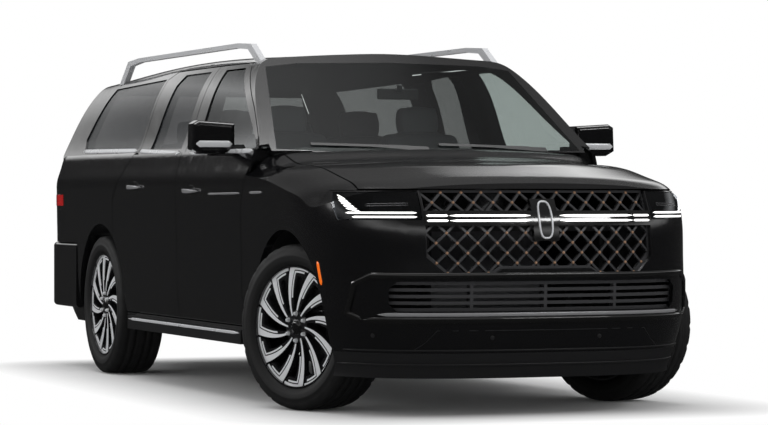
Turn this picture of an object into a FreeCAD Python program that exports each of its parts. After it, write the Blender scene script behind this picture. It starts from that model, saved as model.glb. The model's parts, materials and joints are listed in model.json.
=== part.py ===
import FreeCAD, Part
import math
import os
import Sketcher
from FreeCAD import Placement, Rotation, Vector

# Full-size four-door sport utility vehicle, in millimetres.
# +X points forward, +Y to the vehicle's left and +Z up. The origin is on the ground,
# below the middle of the vehicle's outer box.

SIZES = {
    # Whole vehicle
    "front_overhang": 985,
    "wheelbase": 3343,
    "rear_overhang": 1308,
    "half_width": 1014.5,
    "panel_gap": 7,
    "seat_clearance": 0.3,
    # Horizontal sections of the lower body: height, inset of the side, set-back of nose and tail
    "level1_height": 195, "level1_inset": 80, "level1_nose": 62, "level1_tail": 190,
    "level2_height": 300, "level2_inset": 64, "level2_nose": 22, "level2_tail": 110,
    "level3_height": 430, "level3_inset": 27, "level3_nose": 4, "level3_tail": 62,
    "level4_height": 570, "level4_inset": 13, "level4_nose": 0, "level4_tail": 60,
    "level5_height": 720, "level5_inset": 11, "level5_nose": 0, "level5_tail": 64,
    "level6_height": 860, "level6_inset": 8, "level6_nose": 10, "level6_tail": 70,
    "level7_height": 1000, "level7_inset": 4, "level7_nose": 42, "level7_tail": 76,
    "level8_height": 1100, "level8_inset": 1, "level8_nose": 98, "level8_tail": 84,
    "level9_height": 1160, "level9_inset": 0, "level9_nose": 124, "level9_tail": 92,
    "level10_height": 1205, "level10_inset": 9, "level10_nose": 140, "level10_tail": 100,
    "level11_height": 1262, "level11_inset": 25, "level11_nose": 160, "level11_tail": 112,
    "level12_height": 1330, "level12_inset": 52, "level12_nose": 190, "level12_tail": 130,
    "nose_rounding": 900,
    "nose_power": 2.9,
    "tail_rounding": 320,
    "tail_power": 3.4,
    # Roof and side windows: cross-section above the belt
    "belt_height": 1318,
    "belt_overlap": 20,
    "belt_half_width": 958,
    "mid_glass_height": 1540,
    "mid_glass_half_width": 877,
    "cant_height": 1772,
    "cant_half_width": 768,
    "roof_edge_height": 1824,
    "roof_edge_half_width": 715,
    "roof_shoulder_height": 1852,
    "roof_shoulder_half_width": 580,
    "roof_height": 1880,
    "roof_front_x": -1180,
    "roof_front_fall": 22,
    "roof_peak_x": -2200,
    "roof_tail_fall": 58,
    "greenhouse_tail_taper": 46,
    "tail_top_x": -4370,
    "tail_belt_x": -4530,
    "glass_corner_rounding": 210,
    # Windscreen
    "screen_base_x": -405,
    "screen_base_height": 1312,
    "screen_top_x": -1112,
    "screen_top_height": 1812,
    "screen_bow": 105,
    "screen_thickness": 6,
    # Bonnet surface: height behind the leading edge, fall towards the sides
    "hood_front_x": 880,
    "hood_edge_height": 1134,
    "hood_near_height": 1164,
    "hood_mid_height": 1236,
    "hood_rear_height": 1304,
    "hood_near_run": 100,
    "hood_mid_run": 500,
    "hood_rear_run": 1250,
    "hood_side_fall": 24,
    "fender_top_fall": 112,
    "hood_half_width": 838,
    "hood_rear_x": -366,
    "hood_thickness": 24,
    "cowl_half_width": 688,
    "fender_shelf_top": 1303,
    "fender_shelf_depth": 34,
    "cowl_low": 1262,
    "cowl_top": 1290,
    "skin_thickness": 40,
    # Cabin
    "cabin_half_width": 896,
    "cabin_floor": 500,
    "floor_thickness": 58,
    "firewall_x": -640,
    "firewall_thickness": 60,
    "cabin_rear_x": -4440,
    "roof_wall": 44,
    "door_frame_wall": 56,
    "sill_low": 290,
    "sill_inner": 800,
    # Doors, as shut lines seen from the side
    "door_bottom": 396,
    "door_top": 1800,
    "door_nose_top_x": -545,
    "door_nose_waist_x": -672,
    "door_nose_waist_height": 1014,
    "door_nose_low_x": -606,
    "door_split_x": -1800,
    "rear_door_back_x": -2700,
    "rear_door_kick_height": 1345,
    "rear_door_kick_x": -3058,
    "rear_door_kick_low": 1060,
    "b_pillar_width": 150,
    "door_lip": 20,
    "door_step": 20,
    "door_room": 12,
    "doorway_inner_y": 600,
    "a_pillar_low_x": -858,
    "a_pillar_low_height": 1545,
    "a_pillar_high_x": -1290,
    # Windows
    "window_top": 1776,
    "window_low_front": 1324,
    "window_low_rear": 1368,
    "front_window_nose_x": -560,
    "front_window_rear_x": -1640,
    "rear_window_front_x": -1895,
    "rear_window_rear_x": -2440,
    "quarter_front_x": -2742,
    "quarter_rear_x": -3950,
    "glass_thickness": 5,
    "glass_set_back": 8,
    # Front end
    "hood_low_edge": 1110,
    "hood_corner_x": -442,
    "fender_strip_low": 1103,
    "lamp_inner_y": 612,
    "lamp_top": 1096,
    "lamp_bottom": 962,
    "lamp_tip_top_x": 452,
    "lamp_tip_low_x": 610,
    "lamp_depth": 110,
    "hood_clearance": 14,
    "apron_thickness": 18,
    "apron_top": 945,
    "shelf_half_run": 170,
    "carrier_x": 600,
    "carrier_thickness": 30,
    "carrier_window_y": 520,
    "carrier_window_top": 900,
    "lamp_seat_x": 760,
    "lamp_seat_inner": 640,
    "lamp_seat_outer": 860,
    "bumper_seam_top_x": 400,
    "bumper_seam_top_height": 955,
    "bumper_seam_low_x": 340,
    "bumper_seam_low_height": 790,
    "bumper_bottom": 318,
    "grille_half_width": 600,
    "grille_top": 1104,
    "grille_corner_height": 780,
    "grille_foot_outer_y": 500,
    "grille_foot_inner_y": 290,
    "grille_foot_height": 690,
    "grille_middle_y": 235,
    "grille_middle_height": 724,
    "grille_set_back": 24,
    "grille_depth": 40,
    "mesh_depth": 22,
    "mesh_pitch": 99,
    "mesh_rise": 97,
    "mesh_bar": 11,
    "mesh_frame": 13,
    "bar_low": 932,
    "bar_high": 1004,
    "badge_half_width": 66,
    "badge_low": 858,
    "badge_high": 1061,
    "intake_half_width": 760,
    "intake_top": 664,
    "intake_bottom": 520,
    "intake_slats": 5,
    "tail_lamp_low": 1015,
    "tail_lamp_high": 1085,
    # Tail
    "gate_half_width": 868,
    "gate_top_half_width": 640,
    "gate_top": 1792,
    "gate_split": 985,
    "gate_split_gap": 7,
    "gate_split_fall": 31,
    "gate_lid_fall": 14,
    "drop_gate_inner_x": -4490,
    "gate_bottom": 800,
    "gate_wall": 90,
    "gate_flange": 24,
    "gate_skin": 7,
    "gate_glass_low": 1345,
    "gate_glass_high": 1722,
    "rear_bumper_top": 784,
    "rear_bumper_low": 380,
    "bumper_inset": 6,
    "bumper_edge": 26,
    "rear_bumper_front_x": -3880,
    # Hinges
    "pin_radius": 3.5,
    "ear_radius": 7,
    "ear_width": 9,
    "lug_half_width": 12,
    "gate_hinge_station": 200,
    "drop_hinge_station": 170,
    "hood_hinge_station": 600,
    "ear_flat_half": 5.6,
    "gate_ear_reach": 26,
    "gate_lug_reach": 24,
    "drop_ear_reach": 32,
    "drop_ear_low": 12,
    "drop_ear_high": 3,
    "drop_lug_reach": 25,
    "drop_lug_rise": 24,
    "hood_ear_reach": 62,
    "hood_arm_low": 112,
    "hood_arm_rise": 44,
    "hood_arm_reach": 160,
    "hood_arm_thickness": 16,
    "hood_arm_elbow": 50.4,
    "hood_arm_neck": 63.2,
    "hood_rear_gap": 17,
    "hood_bend_share": 0.55,
    "hood_rear_bow": 8,
    "hinge_room": 13,
    "hood_hinge_x": -520,
    "hood_hinge_height": 1246,
    "front_hinge_x": -541,
    "front_hinge_y": 1000,
    "rear_hinge_x": -1800,
    "rear_hinge_y": 1015.5,
    "gate_hinge_x": -4316,
    "gate_roof_gap": 19,
    "gate_hinge_height": 1811,
    "drop_hinge_inset": 61,
    "drop_hinge_height": 798,
    # Wheels and their arches
    "tyre_radius": 419,
    "tyre_width": 286,
    "tyre_shoulder": 34,
    "rim_radius": 308,
    "rim_width": 250,
    "wheel_track": 1720,
    "arch_radius": 487,
    "liner_thickness": 18,
    "front_liner_inner": 478,
    "rear_liner_inner": 655,
    "shaft_room": 60,
    "kingpin_y": 790,
    "steer_at_rest": 21,
    "hub_radius": 82,
    "lug_circle": 135,
    "lug_count": 6,
    "lug_radius": 11,
    "rim_wall": 9,
    "wheel_offset": 44,
    "spoke_back": 38,
    "spoke_depth": 30,
    "spoke_count": 12,
    "spoke_root_radius": 60,
    "spoke_root_angle": -35,
    "spoke_root_width": 14,
    "spoke_tip_angle": -9,
    "spoke_hook_angle": 19,
    "spoke_hook_depth": 48,
    "spoke_tip_width": 66,
    "disc_radius": 185,
    "disc_thickness": 24,
    "disc_inner_y": -40,
    "disc_gap": 7,
    "caliper_wall": 20,
    "caliper_half_height": 65,
    # Running gear
    "upright_inner": 742,
    "upright_depth": 60,
    "upright_width": 90,
    "upright_reach": 170,
    "spindle_radius": 46,
    "steer_arm_reach": 150,
    "rail_inner_y": 380,
    "rail_width": 80,
    "rail_low": 260,
    "rail_depth": 110,
    "rail_front_x": 700,
    "rail_rear_x": -4440,
    "cross_width": 90,
    "low_member_depth": 30,
    "gearbox_member_x": -1240,
    "tank_member_x": -2780,
    "spare_member_x": -3630,
    "receiver_reach": 90,
    "body_mount_radius": 36,
    "receiver_outer": 64,
    "receiver_inner": 51,
    "receiver_height": 315,
    "hitch_pin_back": 60,
    "hitch_pin_radius": 8,
    "lower_arm_height": 285,
    "upper_arm_height": 560,
    "arm_spread": 150,
    "arm_radius": 17,
    "arm_ball_y": 702,
    "ball_drop": 44,
    "ball_radius": 14,
    "tower_thickness": 13,
    "tower_top": 596,
    "damper_radius": 26,
    "rear_damper_y": 560,
    "rack_x": 262,
    "rack_height": 396,
    "rack_radius": 16,
    "rack_half_length": 470,
    "diff_radius": 105,
    "shaft_radius": 24,
    "rear_upright_inner": 700,
    "prop_radius": 38,
    "prop_height": 352,
    "engine_front_x": 230,
    "engine_rear_x": -480,
    "engine_half_width": 300,
    "engine_low": 400,
    "engine_high": 985,
    "gearbox_rear_x": -1350,
    "gearbox_half_width": 150,
    "exhaust_y": 260,
    "exhaust_height": 345,
    "exhaust_radius": 34,
    "muffler_rear_x": -3060,
    "muffler_length": 620,
    "tank_rear_x": -2760,
    "tank_length": 820,
    "spare_x": -3990,
    "spare_radius": 355,
    "spare_width": 170,
    "spare_low": 262,
    "spare_hanger_radius": 30,
    # Seats and fittings
    "rear_floor": 620,
    "rear_floor_x": -2790,
    "driver_y": 400,
    "front_seat_x": -1080,
    "second_seat_x": -2010,
    "third_seat_x": -2960,
    "third_place_y": 330,
    "seat_width": 530,
    "third_seat_width": 600,
    "third_back_height": 740,
    "headrest_width": 250,
    "headrest_height": 170,
    "seat_cushion_run": 480,
    "seat_cushion_height": 350,
    "seat_base_height": 170,
    "seat_back_height": 900,
    "seat_recline": 150,
    "dash_low": 900,
    "dash_high": 1205,
    "dash_rear_x": -960,
    "console_rear_x": -1720,
    "console_height": 840,
    "console_width": 250,
    "steering_x": -1100,
    "steering_height": 1085,
    "steering_radius": 184,
    "steering_grip": 16,
    "steering_hub": 62,
    "column_radius": 24,
    "column_length": 115,
    "column_tilt": 24,
    "shroud_length": 120,
    "screen_low_half": 868,
    "screen_top_half": 716,
    "screen_low_rise": 12,
    "gate_glass_depth": 10,
    "tail_lamp_front_x": -4180,
    "tail_lamp_depth": 22,
    "lamp_proud": 2,
    # Outer trim
    "rail_top_height": 1925,
    "roof_rail_y": 690,
    "rail_foot_height": 1800,
    "rail_front_foot_x": -1200,
    "rail_rear_foot_x": -3950,
    "roof_rail_width": 34,
    "roof_rail_height": 26,
    "board_half_width": 1018,
    "board_inner": 890,
    "board_low": 300,
    "board_top": 376,
    "board_front_x": -640,
    "board_rear_x": -2720,
    "bar_proud": 4,
    "mirror_x": -850,
    "mirror_y": 1108,
    "mirror_height": 1385,
    "mirror_half_width": 118,
    "mirror_half_height": 88,
    "mirror_depth": 48,
    "mirror_rounding": 26,
    "wiper_length": 620,
    "wiper_width": 13,
    "wiper_depth": 12,
    "wiper_height": 1328,
    "wiper_pivot_left": 640,
    "wiper_pivot_right": -60,
}


class Size(float):
    """A number from the sheet, or one worked out from it, together with its formula."""

    def __new__(cls, value, formula):
        size = float.__new__(cls, value)
        size.formula = formula
        return size

    def __add__(self, other):
        return Size(float(self) + float(other), "(%s + %s)" % (self.formula, formula_of(other)))

    def __sub__(self, other):
        return Size(float(self) - float(other), "(%s - %s)" % (self.formula, formula_of(other)))

    def __mul__(self, other):
        return Size(float(self) * float(other), "(%s * %s)" % (self.formula, formula_of(other)))

    def __truediv__(self, other):
        return Size(float(self) / float(other), "(%s / %s)" % (self.formula, formula_of(other)))

    def __neg__(self):
        return Size(-float(self), "(0 - %s)" % self.formula)


def formula_of(value):
    """The formula of a Size, or a plain number as text."""
    return getattr(value, "formula", repr(float(value)))


class Sizes:
    """Reads the sheet by alias, so that a size is written S.wheelbase."""

    def __init__(self, document, table):
        self.sheet = document.addObject("Spreadsheet::Sheet", "Sizes")
        for row, (alias, value) in enumerate(table.items(), start=1):
            self.sheet.set("A%d" % row, alias)
            self.sheet.set("B%d" % row, str(value))
            self.sheet.setAlias("B%d" % row, alias)
        document.recompute()

    def __getattr__(self, alias):
        return Size(float(self.sheet.get(alias)), "Sizes." + alias)

    def level(self, number, field):
        return getattr(self, "level%d_%s" % (number, field))


doc = FreeCAD.newDocument("Vehicle")
S = Sizes(doc, SIZES)

ZERO = Size(0.0, "0")
BLADE_STEPS = 5
LEVELS = 12
LEFT, RIGHT = 1, -1
BIG = 4000.0
length = S.front_overhang + S.wheelbase + S.rear_overhang
front_axle_x = length / 2 - S.front_overhang
rear_axle_x = front_axle_x - S.wheelbase
nose_x = length / 2
tail_x = -length / 2


def ahead(distance):
    """The station at a distance ahead of the front axle, behind it if negative."""
    return front_axle_x + distance


def behind(distance):
    """A station given from the front axle that keeps its place before the rear axle."""
    return rear_axle_x + SIZES["wheelbase"] + distance


# Solids made from outlines

def prism_y(points, low, high):
    """A prism over an outline of (x, z) points, from y = low to y = high."""
    corners = [Vector(x, low, z) for x, z in points]
    face = Part.Face(Part.makePolygon(corners + corners[:1]))
    return face.extrude(Vector(0, high - low, 0))


def prism_x(points, low, high):
    """A prism over an outline of (y, z) points, from x = low to x = high."""
    corners = [Vector(low, y, z) for y, z in points]
    face = Part.Face(Part.makePolygon(corners + corners[:1]))
    return face.extrude(Vector(high - low, 0, 0))


def prism_z(points, low, high):
    """A prism over an outline of (x, y) points, from z = low to z = high."""
    corners = [Vector(x, y, low) for x, y in points]
    face = Part.Face(Part.makePolygon(corners + corners[:1]))
    return face.extrude(Vector(0, 0, high - low))


def block(x0, x1, y0, y1, z0, z1):
    """An upright box between two corners."""
    return Part.makeBox(x1 - x0, y1 - y0, z1 - z0, Vector(x0, y0, z0))


def rod_y(x, z, radius, y0, y1):
    """A cylinder along Y."""
    return Part.makeCylinder(radius, y1 - y0, Vector(x, y0, z), Vector(0, 1, 0))


def mirrored(shape):
    """The same shape on the other side of the vehicle."""
    return shape.mirror(Vector(0, 0, 0), Vector(0, 1, 0))


def for_side(shape, side):
    """A shape made for the right side, or its mirror image for the left."""
    return shape if side == RIGHT else mirrored(shape)


def both(shape):
    """A shape made for the right side, with its mirror image."""
    return Part.makeCompound([shape, mirrored(shape)])


def chord_shares(points):
    """How far along an outline each of its points lies, from 0 to 1."""
    marks = [0.0]
    for first, second in zip(points, points[1:]):
        marks.append(marks[-1] + math.dist(first, second))
    return [mark / marks[-1] for mark in marks]


def smooth_through(points, shares, start=None, end=None):
    """A spline edge through points, with the directions that it leaves and arrives in."""
    curve = Part.BSplineCurve()
    places = [Vector(*point) for point in points]
    if start is None:
        curve.interpolate(Points=places, Parameters=shares)
    else:
        curve.interpolate(Points=places, Parameters=shares, InitialTangent=Vector(*start), FinalTangent=Vector(*end))
    return curve.toShape()


# Outer form of the body

def rounded_end(share, power):
    """How far a rounded end has fallen back, from 0 at its middle to 1 at the side, at a share of the width."""
    return 1 - (1 - share ** power) ** (1 / power)


END_SHARES = (0.0, 0.16, 0.32, 0.47, 0.6, 0.71, 0.8, 0.87, 0.92, 0.955, 0.98, 0.994, 1.0)


def plan_outline(height, half, nose, tail):
    """Half of a horizontal section, from the tail's middle round the right side to the nose's middle."""
    points = []
    for share in END_SHARES:
        back = S.tail_rounding * rounded_end(share, S.tail_power)
        points.append((tail + back, -half * share, height))
    side_start = tail + S.tail_rounding
    side_end = nose - S.nose_rounding
    runs = 10
    for run in range(1, runs):
        points.append((side_start + (side_end - side_start) * run / runs, -half, height))
    for share in reversed(END_SHARES):
        back = S.nose_rounding * rounded_end(share, S.nose_power)
        points.append((nose - back, -half * share, height))
    return points


def section_wire(height, half, nose, tail):
    """A closed horizontal section of the body: the right half and its mirror image."""
    right = plan_outline(height, half, nose, tail)
    left = [(x, -y, z) for x, y, z in reversed(right)]
    shares = chord_shares(plan_outline(0.0, S.half_width, nose_x, tail_x))
    other_shares = [1 - share for share in reversed(shares)]
    inward, outward = (0, 1, 0), (0, -1, 0)
    return Part.Wire([
        smooth_through(right, shares, outward, inward),
        smooth_through(left, other_shares, inward, outward),
    ])


def lower_volume(offset=0.0):
    """The whole lower body below the windows, shrunk by an offset on all sides but its top."""
    wires = []
    for number in range(1, LEVELS + 1):
        half = S.half_width - S.level(number, "inset") - offset
        nose = nose_x - S.level(number, "nose") - offset
        tail = tail_x + S.level(number, "tail") + offset
        wires.append(section_wire(S.level(number, "height"), half, nose, tail))
    return Part.makeLoft(wires, True, False)


def half_section(offset, taper):
    """Points of the right half of the upper body's cross-section, from the belt to the roof's middle."""
    return [
        (S.belt_half_width - offset, S.belt_height),
        (S.mid_glass_half_width - offset - taper * 0.5, S.mid_glass_height),
        (S.cant_half_width - offset - taper, S.cant_height),
        (S.roof_edge_half_width - offset - taper, S.roof_edge_height - offset * 0.5),
        (S.roof_shoulder_half_width - offset - taper, S.roof_shoulder_height - offset),
        (0.0, S.roof_height - offset),
    ]


def upper_wire(x, offset, fall, taper):
    """One closed cross-section of the upper body."""
    base = S.belt_height - 120
    rise = S.roof_height - S.belt_height
    right = [(x, -y, z - fall * (z - S.belt_height) / rise) for y, z in half_section(offset, taper)]
    whole = right + [(px, -py, pz) for px, py, pz in reversed(right[:-1])]
    reference = [(0.0, -y, z) for y, z in half_section(0.0, 0.0)]
    reference = reference + [(0.0, -py, pz) for _, py, pz in reversed(reference[:-1])]
    curve = smooth_through(whole, chord_shares(reference))
    start, end = Vector(*whole[0]), Vector(*whole[-1])
    foot_right, foot_left = Vector(x, start.y, base), Vector(x, end.y, base)
    return Part.Wire([
        Part.makeLine(foot_right, start),
        curve,
        Part.makeLine(end, foot_left),
        Part.makeLine(foot_left, foot_right),
    ])


def upper_volume(offset=0.0):
    """Roof, pillars and side windows as one volume, before the windscreen and tailgate cut it."""
    front = ahead(S.screen_base_x) + 400
    stations = [
        (front, S.roof_front_fall * 3.2, 0.0),
        (ahead(S.roof_front_x), S.roof_front_fall, 0.0),
        (ahead(S.roof_peak_x), 0.0, 0.0),
        (behind(-3300), S.roof_tail_fall * 0.35, S.greenhouse_tail_taper * 0.3),
        (behind(S.tail_top_x) - 300, S.roof_tail_fall * 1.15, S.greenhouse_tail_taper),
    ]
    wires = [upper_wire(x, offset, fall, taper) for x, fall, taper in stations]
    return Part.makeLoft(wires, True, False)


def screen_cutter(offset=0.0):
    """Everything ahead of the bowed, raked windscreen, moved back by an offset."""
    rake = Vector(S.screen_top_x - S.screen_base_x, 0, S.screen_top_height - S.screen_base_height)
    slope = Vector(rake).normalize()
    foot = Vector(ahead(S.screen_base_x) - offset, 0, S.screen_base_height) - slope * 400
    spread = S.half_width + 60
    bow = S.screen_bow * (spread / S.belt_half_width) ** 2
    arc = Part.Arc(foot + Vector(-bow, -spread, 0), foot, foot + Vector(-bow, spread, 0)).toShape()
    far = Vector(1600, 0, 0)
    ends = [vertex.Point for vertex in arc.Vertexes]
    wire = Part.Wire([
        arc,
        Part.makeLine(ends[1], ends[1] + far),
        Part.makeLine(ends[1] + far, ends[0] + far),
        Part.makeLine(ends[0] + far, ends[0]),
    ])
    return Part.Face(wire).extrude(slope * 1500)


def tail_cutter(offset=0.0):
    """Everything behind the sloping, round-cornered tail above the belt, moved forward by an offset."""
    slope = Vector(S.tail_top_x - S.tail_belt_x, 0, S.roof_height - S.belt_height)
    slope.normalize()
    middle = behind(S.tail_belt_x) + offset
    spread = S.belt_half_width
    right = []
    for share in END_SHARES:
        back = S.glass_corner_rounding * rounded_end(share, S.tail_power)
        right.append((middle + back, -spread * share, S.belt_height))
    shares = chord_shares(right)
    edge = smooth_through(right, shares, (0, -1, 0), (1, 0, 0))
    other = edge.mirror(Vector(0, 0, 0), Vector(0, 1, 0))
    side, far_x = spread + 300, middle - 1500
    end = Vector(*right[-1])
    corners = [
        end, Vector(end.x, -side, end.z), Vector(far_x, -side, end.z), Vector(far_x, side, end.z),
        Vector(end.x, side, end.z), Vector(end.x, -end.y, end.z),
    ]
    rim = [Part.makeLine(first, second) for first, second in zip(corners, corners[1:])]
    wire = Part.Wire(Part.__sortEdges__([edge, other] + rim))
    face = Part.Face(wire)
    face.translate(slope * -400)
    return face.extrude(slope * 1500)


def hood_height(run):
    """Height of the hood's middle at a distance behind its leading edge."""
    knots = [
        (0.0, S.hood_edge_height),
        (S.hood_near_run, S.hood_near_height),
        (S.hood_mid_run, S.hood_mid_height),
        (S.hood_rear_run, S.hood_rear_height),
    ]
    for (run0, height0), (run1, height1) in zip(knots, knots[1:]):
        if run <= run1:
            return height0 + (height1 - height0) * (run - run0) / (run1 - run0)
    slope = (height1 - height0) / (run1 - run0)
    return height1 + slope * (run - run1)


def top_surface(drop=0.0):
    """The top surface of the hood and fenders, lowered by a drop."""
    half = S.half_width
    rows = []
    runs = [-190, -110, -50, 0, 45, 110, 200, 330, 500, 720, 950, 1250, 1500]
    across = [-1.04, -0.97, -0.93, -0.88, -0.82, -0.72, -0.5, -0.25, 0]
    across += [-share for share in reversed(across[:-1])]
    for run in runs:
        row = []
        for share in across:
            lead = rounded_end(min(0.985, abs(share)), S.nose_power)
            x = ahead(S.hood_front_x) - S.nose_rounding * lead - run
            side = S.hood_side_fall * (share / 0.82) ** 2 if abs(share) < 0.82 else S.hood_side_fall
            if abs(share) > 0.82:
                side += (S.fender_top_fall - S.hood_side_fall) * ((abs(share) - 0.82) / 0.22) ** 1.6
            nose = 30 * math.exp(-max(run, 0) / 60.0) * abs(share) ** 3
            row.append(Vector(x, share * half, hood_height(run) - side - nose - drop))
        rows.append(row)
    surface = Part.BSplineSurface()
    surface.interpolate(rows)
    return surface.toShape()


def top_volume(drop=0.0):
    """Everything below the hood's and fenders' top surface, lowered by a drop."""
    return top_surface(drop).extrude(Vector(0, 0, -1500))


# Outlines seen from the side, as points of (x, z)

def grown(points, distance):
    """An outline with every edge moved outwards, or inwards if negative."""
    area = 0.0
    count = len(points)
    for (x0, z0), (x1, z1) in zip(points, points[1:] + points[:1]):
        area += x0 * z1 - x1 * z0
    turn = 1.0 if area > 0 else -1.0
    lines = []
    for (x0, z0), (x1, z1) in zip(points, points[1:] + points[:1]):
        run = math.hypot(x1 - x0, z1 - z0)
        out_x, out_z = turn * (z1 - z0) / run, -turn * (x1 - x0) / run
        lines.append((x0 + out_x * distance, z0 + out_z * distance, (x1 - x0) / run, (z1 - z0) / run))
    moved = []
    for index in range(count):
        x0, z0, dx0, dz0 = lines[index - 1]
        x1, z1, dx1, dz1 = lines[index]
        cross = dx0 * dz1 - dz0 * dx1
        if abs(cross) < 1e-6:
            moved.append((x1, z1))
            continue
        along = ((x1 - x0) * dz1 - (z1 - z0) * dx1) / cross
        moved.append((x0 + dx0 * along, z0 + dz0 * along))
    return moved


def window_low(x):
    """Height of the windows' lower edge, which rises gently towards the tail."""
    start, end = ahead(S.front_window_nose_x), behind(S.quarter_rear_x)
    share = (start - x) / (start - end)
    return S.window_low_front + (S.window_low_rear - S.window_low_front) * share


def front_door_outline():
    return [
        (ahead(S.door_nose_low_x), S.door_bottom + 84),
        (ahead(S.door_nose_waist_x), S.door_bottom + 150),
        (ahead(S.door_nose_waist_x), S.door_nose_waist_height),
        (ahead(S.door_nose_top_x), S.door_nose_waist_height + 240),
        (ahead(S.door_nose_top_x), S.belt_height + 6),
        (ahead(S.a_pillar_low_x), S.a_pillar_low_height),
        (ahead(S.a_pillar_high_x), S.door_top),
        (ahead(S.door_split_x) + S.panel_gap - 1.5, S.door_top),
        (ahead(S.door_split_x) + S.panel_gap - 1.5, S.door_bottom),
        (ahead(S.door_nose_low_x) - 40, S.door_bottom),
    ]


def rear_door_outline():
    return [
        (ahead(S.door_split_x) - 1.5, S.door_bottom),
        (ahead(S.door_split_x) - 1.5, S.door_top),
        (behind(S.rear_door_back_x) + 110, S.door_top),
        (behind(S.rear_door_back_x), S.door_top - 42),
        (behind(S.rear_door_back_x), S.rear_door_kick_height),
        (behind(S.rear_door_kick_x), S.rear_door_kick_low),
        (behind(S.rear_door_kick_x) - 22, S.tyre_radius + 380),
        (rear_axle_x + S.arch_radius - 44, S.door_bottom),
    ]


def front_window_outline():
    rear = ahead(S.front_window_rear_x)
    nose = ahead(S.front_window_nose_x)
    return [
        (nose - 12, window_low(nose)),
        (ahead(S.a_pillar_low_x) - 40, S.a_pillar_low_height - 34),
        (ahead(S.a_pillar_high_x) - 42, S.window_top),
        (rear, S.window_top),
        (rear, window_low(rear)),
    ]


def rear_window_outline():
    front = ahead(S.rear_window_front_x)
    rear = behind(S.rear_window_rear_x)
    return [
        (front, window_low(front)),
        (front, S.window_top),
        (rear + 70, S.window_top),
        (rear, S.window_top - 60),
        (rear - 60, window_low(rear)),
    ]


def quarter_window_outline():
    front = behind(S.quarter_front_x)
    rear = behind(S.quarter_rear_x)
    return [
        (front, window_low(front)),
        (front, S.window_top - 12),
        (rear + 40, S.window_top - 30),
        (rear - 70, window_low(rear) + 60),
        (rear, window_low(rear)),
    ]


def side_cut(outline, inner=300.0):
    """A prism over a side outline, through the right wall of the body."""
    return prism_y(outline, -S.half_width - 200, -inner)


def arch_cut(x, radius, inner):
    """The round opening of a wheel arch on the right side, from an inner wall outwards."""
    return rod_y(x, S.tyre_radius, radius, -S.half_width - 200, -inner)


# Shared volumes
lower = lower_volume()
lower_skin = lower_volume(float(S.skin_thickness))
upper = upper_volume().cut(screen_cutter()).cut(tail_cutter())
upper_inner = upper_volume(float(S.door_frame_wall))
front_room = block(
    behind(S.rear_floor_x), ahead(S.firewall_x),
    -S.cabin_half_width, S.cabin_half_width, S.cabin_floor, S.belt_height + S.belt_overlap,
)
rear_room = block(
    behind(S.cabin_rear_x), behind(S.rear_floor_x) + 1,
    -S.cabin_half_width, S.cabin_half_width, S.rear_floor, S.belt_height + S.belt_overlap,
)
cabin_box = front_room.fuse(rear_room)
screen_inner = screen_cutter(S.screen_thickness + S.seat_clearance + 30)
cabin_top = upper_inner.cut(screen_inner).cut(tail_cutter(float(S.gate_wall)))
front_end = lower.common(top_volume())
front_hollow = lower_skin.common(top_volume(float(S.hood_thickness)))
arches = []
for axle_x, liner_inner in ((front_axle_x, S.front_liner_inner), (rear_axle_x, S.rear_liner_inner)):
    arches.append(arch_cut(axle_x, float(S.arch_radius), float(liner_inner)))

lower_lip = lower_volume(float(S.door_lip)).common(block(-BIG, BIG, -BIG, BIG, 0, S.belt_height))
upper_lip = upper_volume(float(S.door_lip)).common(block(-BIG, BIG, -BIG, BIG, S.belt_height, BIG))
door_lips = lower_lip.fuse(upper_lip)
nodes = {}


def add_node(name, shape):
    """Adds one sub-part whose form comes from curved surfaces."""
    feature = doc.addObject("Part::Feature", name)
    feature.Label = name
    feature.Shape = shape
    feature.Placement = Placement()
    nodes[name] = feature
    return feature


# Hinges, whose pins stand on the fixed part and turn in lugs on the moving part

class Hinge:
    """The pins, ears and lugs of one hinge line along Y, at stations across the vehicle."""

    def __init__(self, x, z, station, fixed_arm, moving_arm):
        self.x, self.z = float(x), float(z)
        self.stations = (-float(station), float(station))
        self.fixed_arm, self.moving_arm = fixed_arm, moving_arm

    def disc(self, middle, half, radius):
        return rod_y(self.x, self.z, radius, middle - half, middle + half)

    def arm(self, middle, half, outline):
        """A plate with an outline of (ahead, up) steps from the hinge line."""
        return prism_y([(self.x + dx, self.z + dz) for dx, dz in outline], middle - half, middle + half)

    def on_fixed(self, shape):
        """The fixed part with room for the lugs, its ears and its pins."""
        outer = S.lug_half_width + S.seat_clearance + S.ear_width
        pieces = []
        for middle in self.stations:
            shape = shape.cut(self.disc(middle, outer + S.panel_gap, float(S.hinge_room)))
            pieces.append(self.disc(middle, outer, float(S.pin_radius)))
            for hand in (-1, 1):
                ear = middle + hand * (outer - S.ear_width / 2)
                pieces.append(self.disc(ear, S.ear_width / 2, float(S.ear_radius)))
                pieces.append(self.arm(ear, S.ear_width / 2, self.fixed_arm))
        return shape.multiFuse(pieces)

    def on_moving(self, shape):
        """The moving part with room for the ears, and its bored lugs."""
        outer = S.lug_half_width + S.seat_clearance + S.ear_width
        half = float(S.lug_half_width)
        for middle in self.stations:
            shape = shape.cut(self.disc(middle, outer + S.panel_gap, float(S.hinge_room)))
            lug = self.disc(middle, half, float(S.ear_radius)).fuse(self.arm(middle, half, self.moving_arm))
            shape = shape.fuse(lug.cut(self.disc(middle, half + 1, S.pin_radius + S.seat_clearance)))
        return shape


def bar_arm(reach, low, high):
    """A straight arm from the hinge line to a reach ahead of it, or behind it."""
    return [(0.0, low), (reach, low), (reach, high), (0.0, high)]


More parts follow.
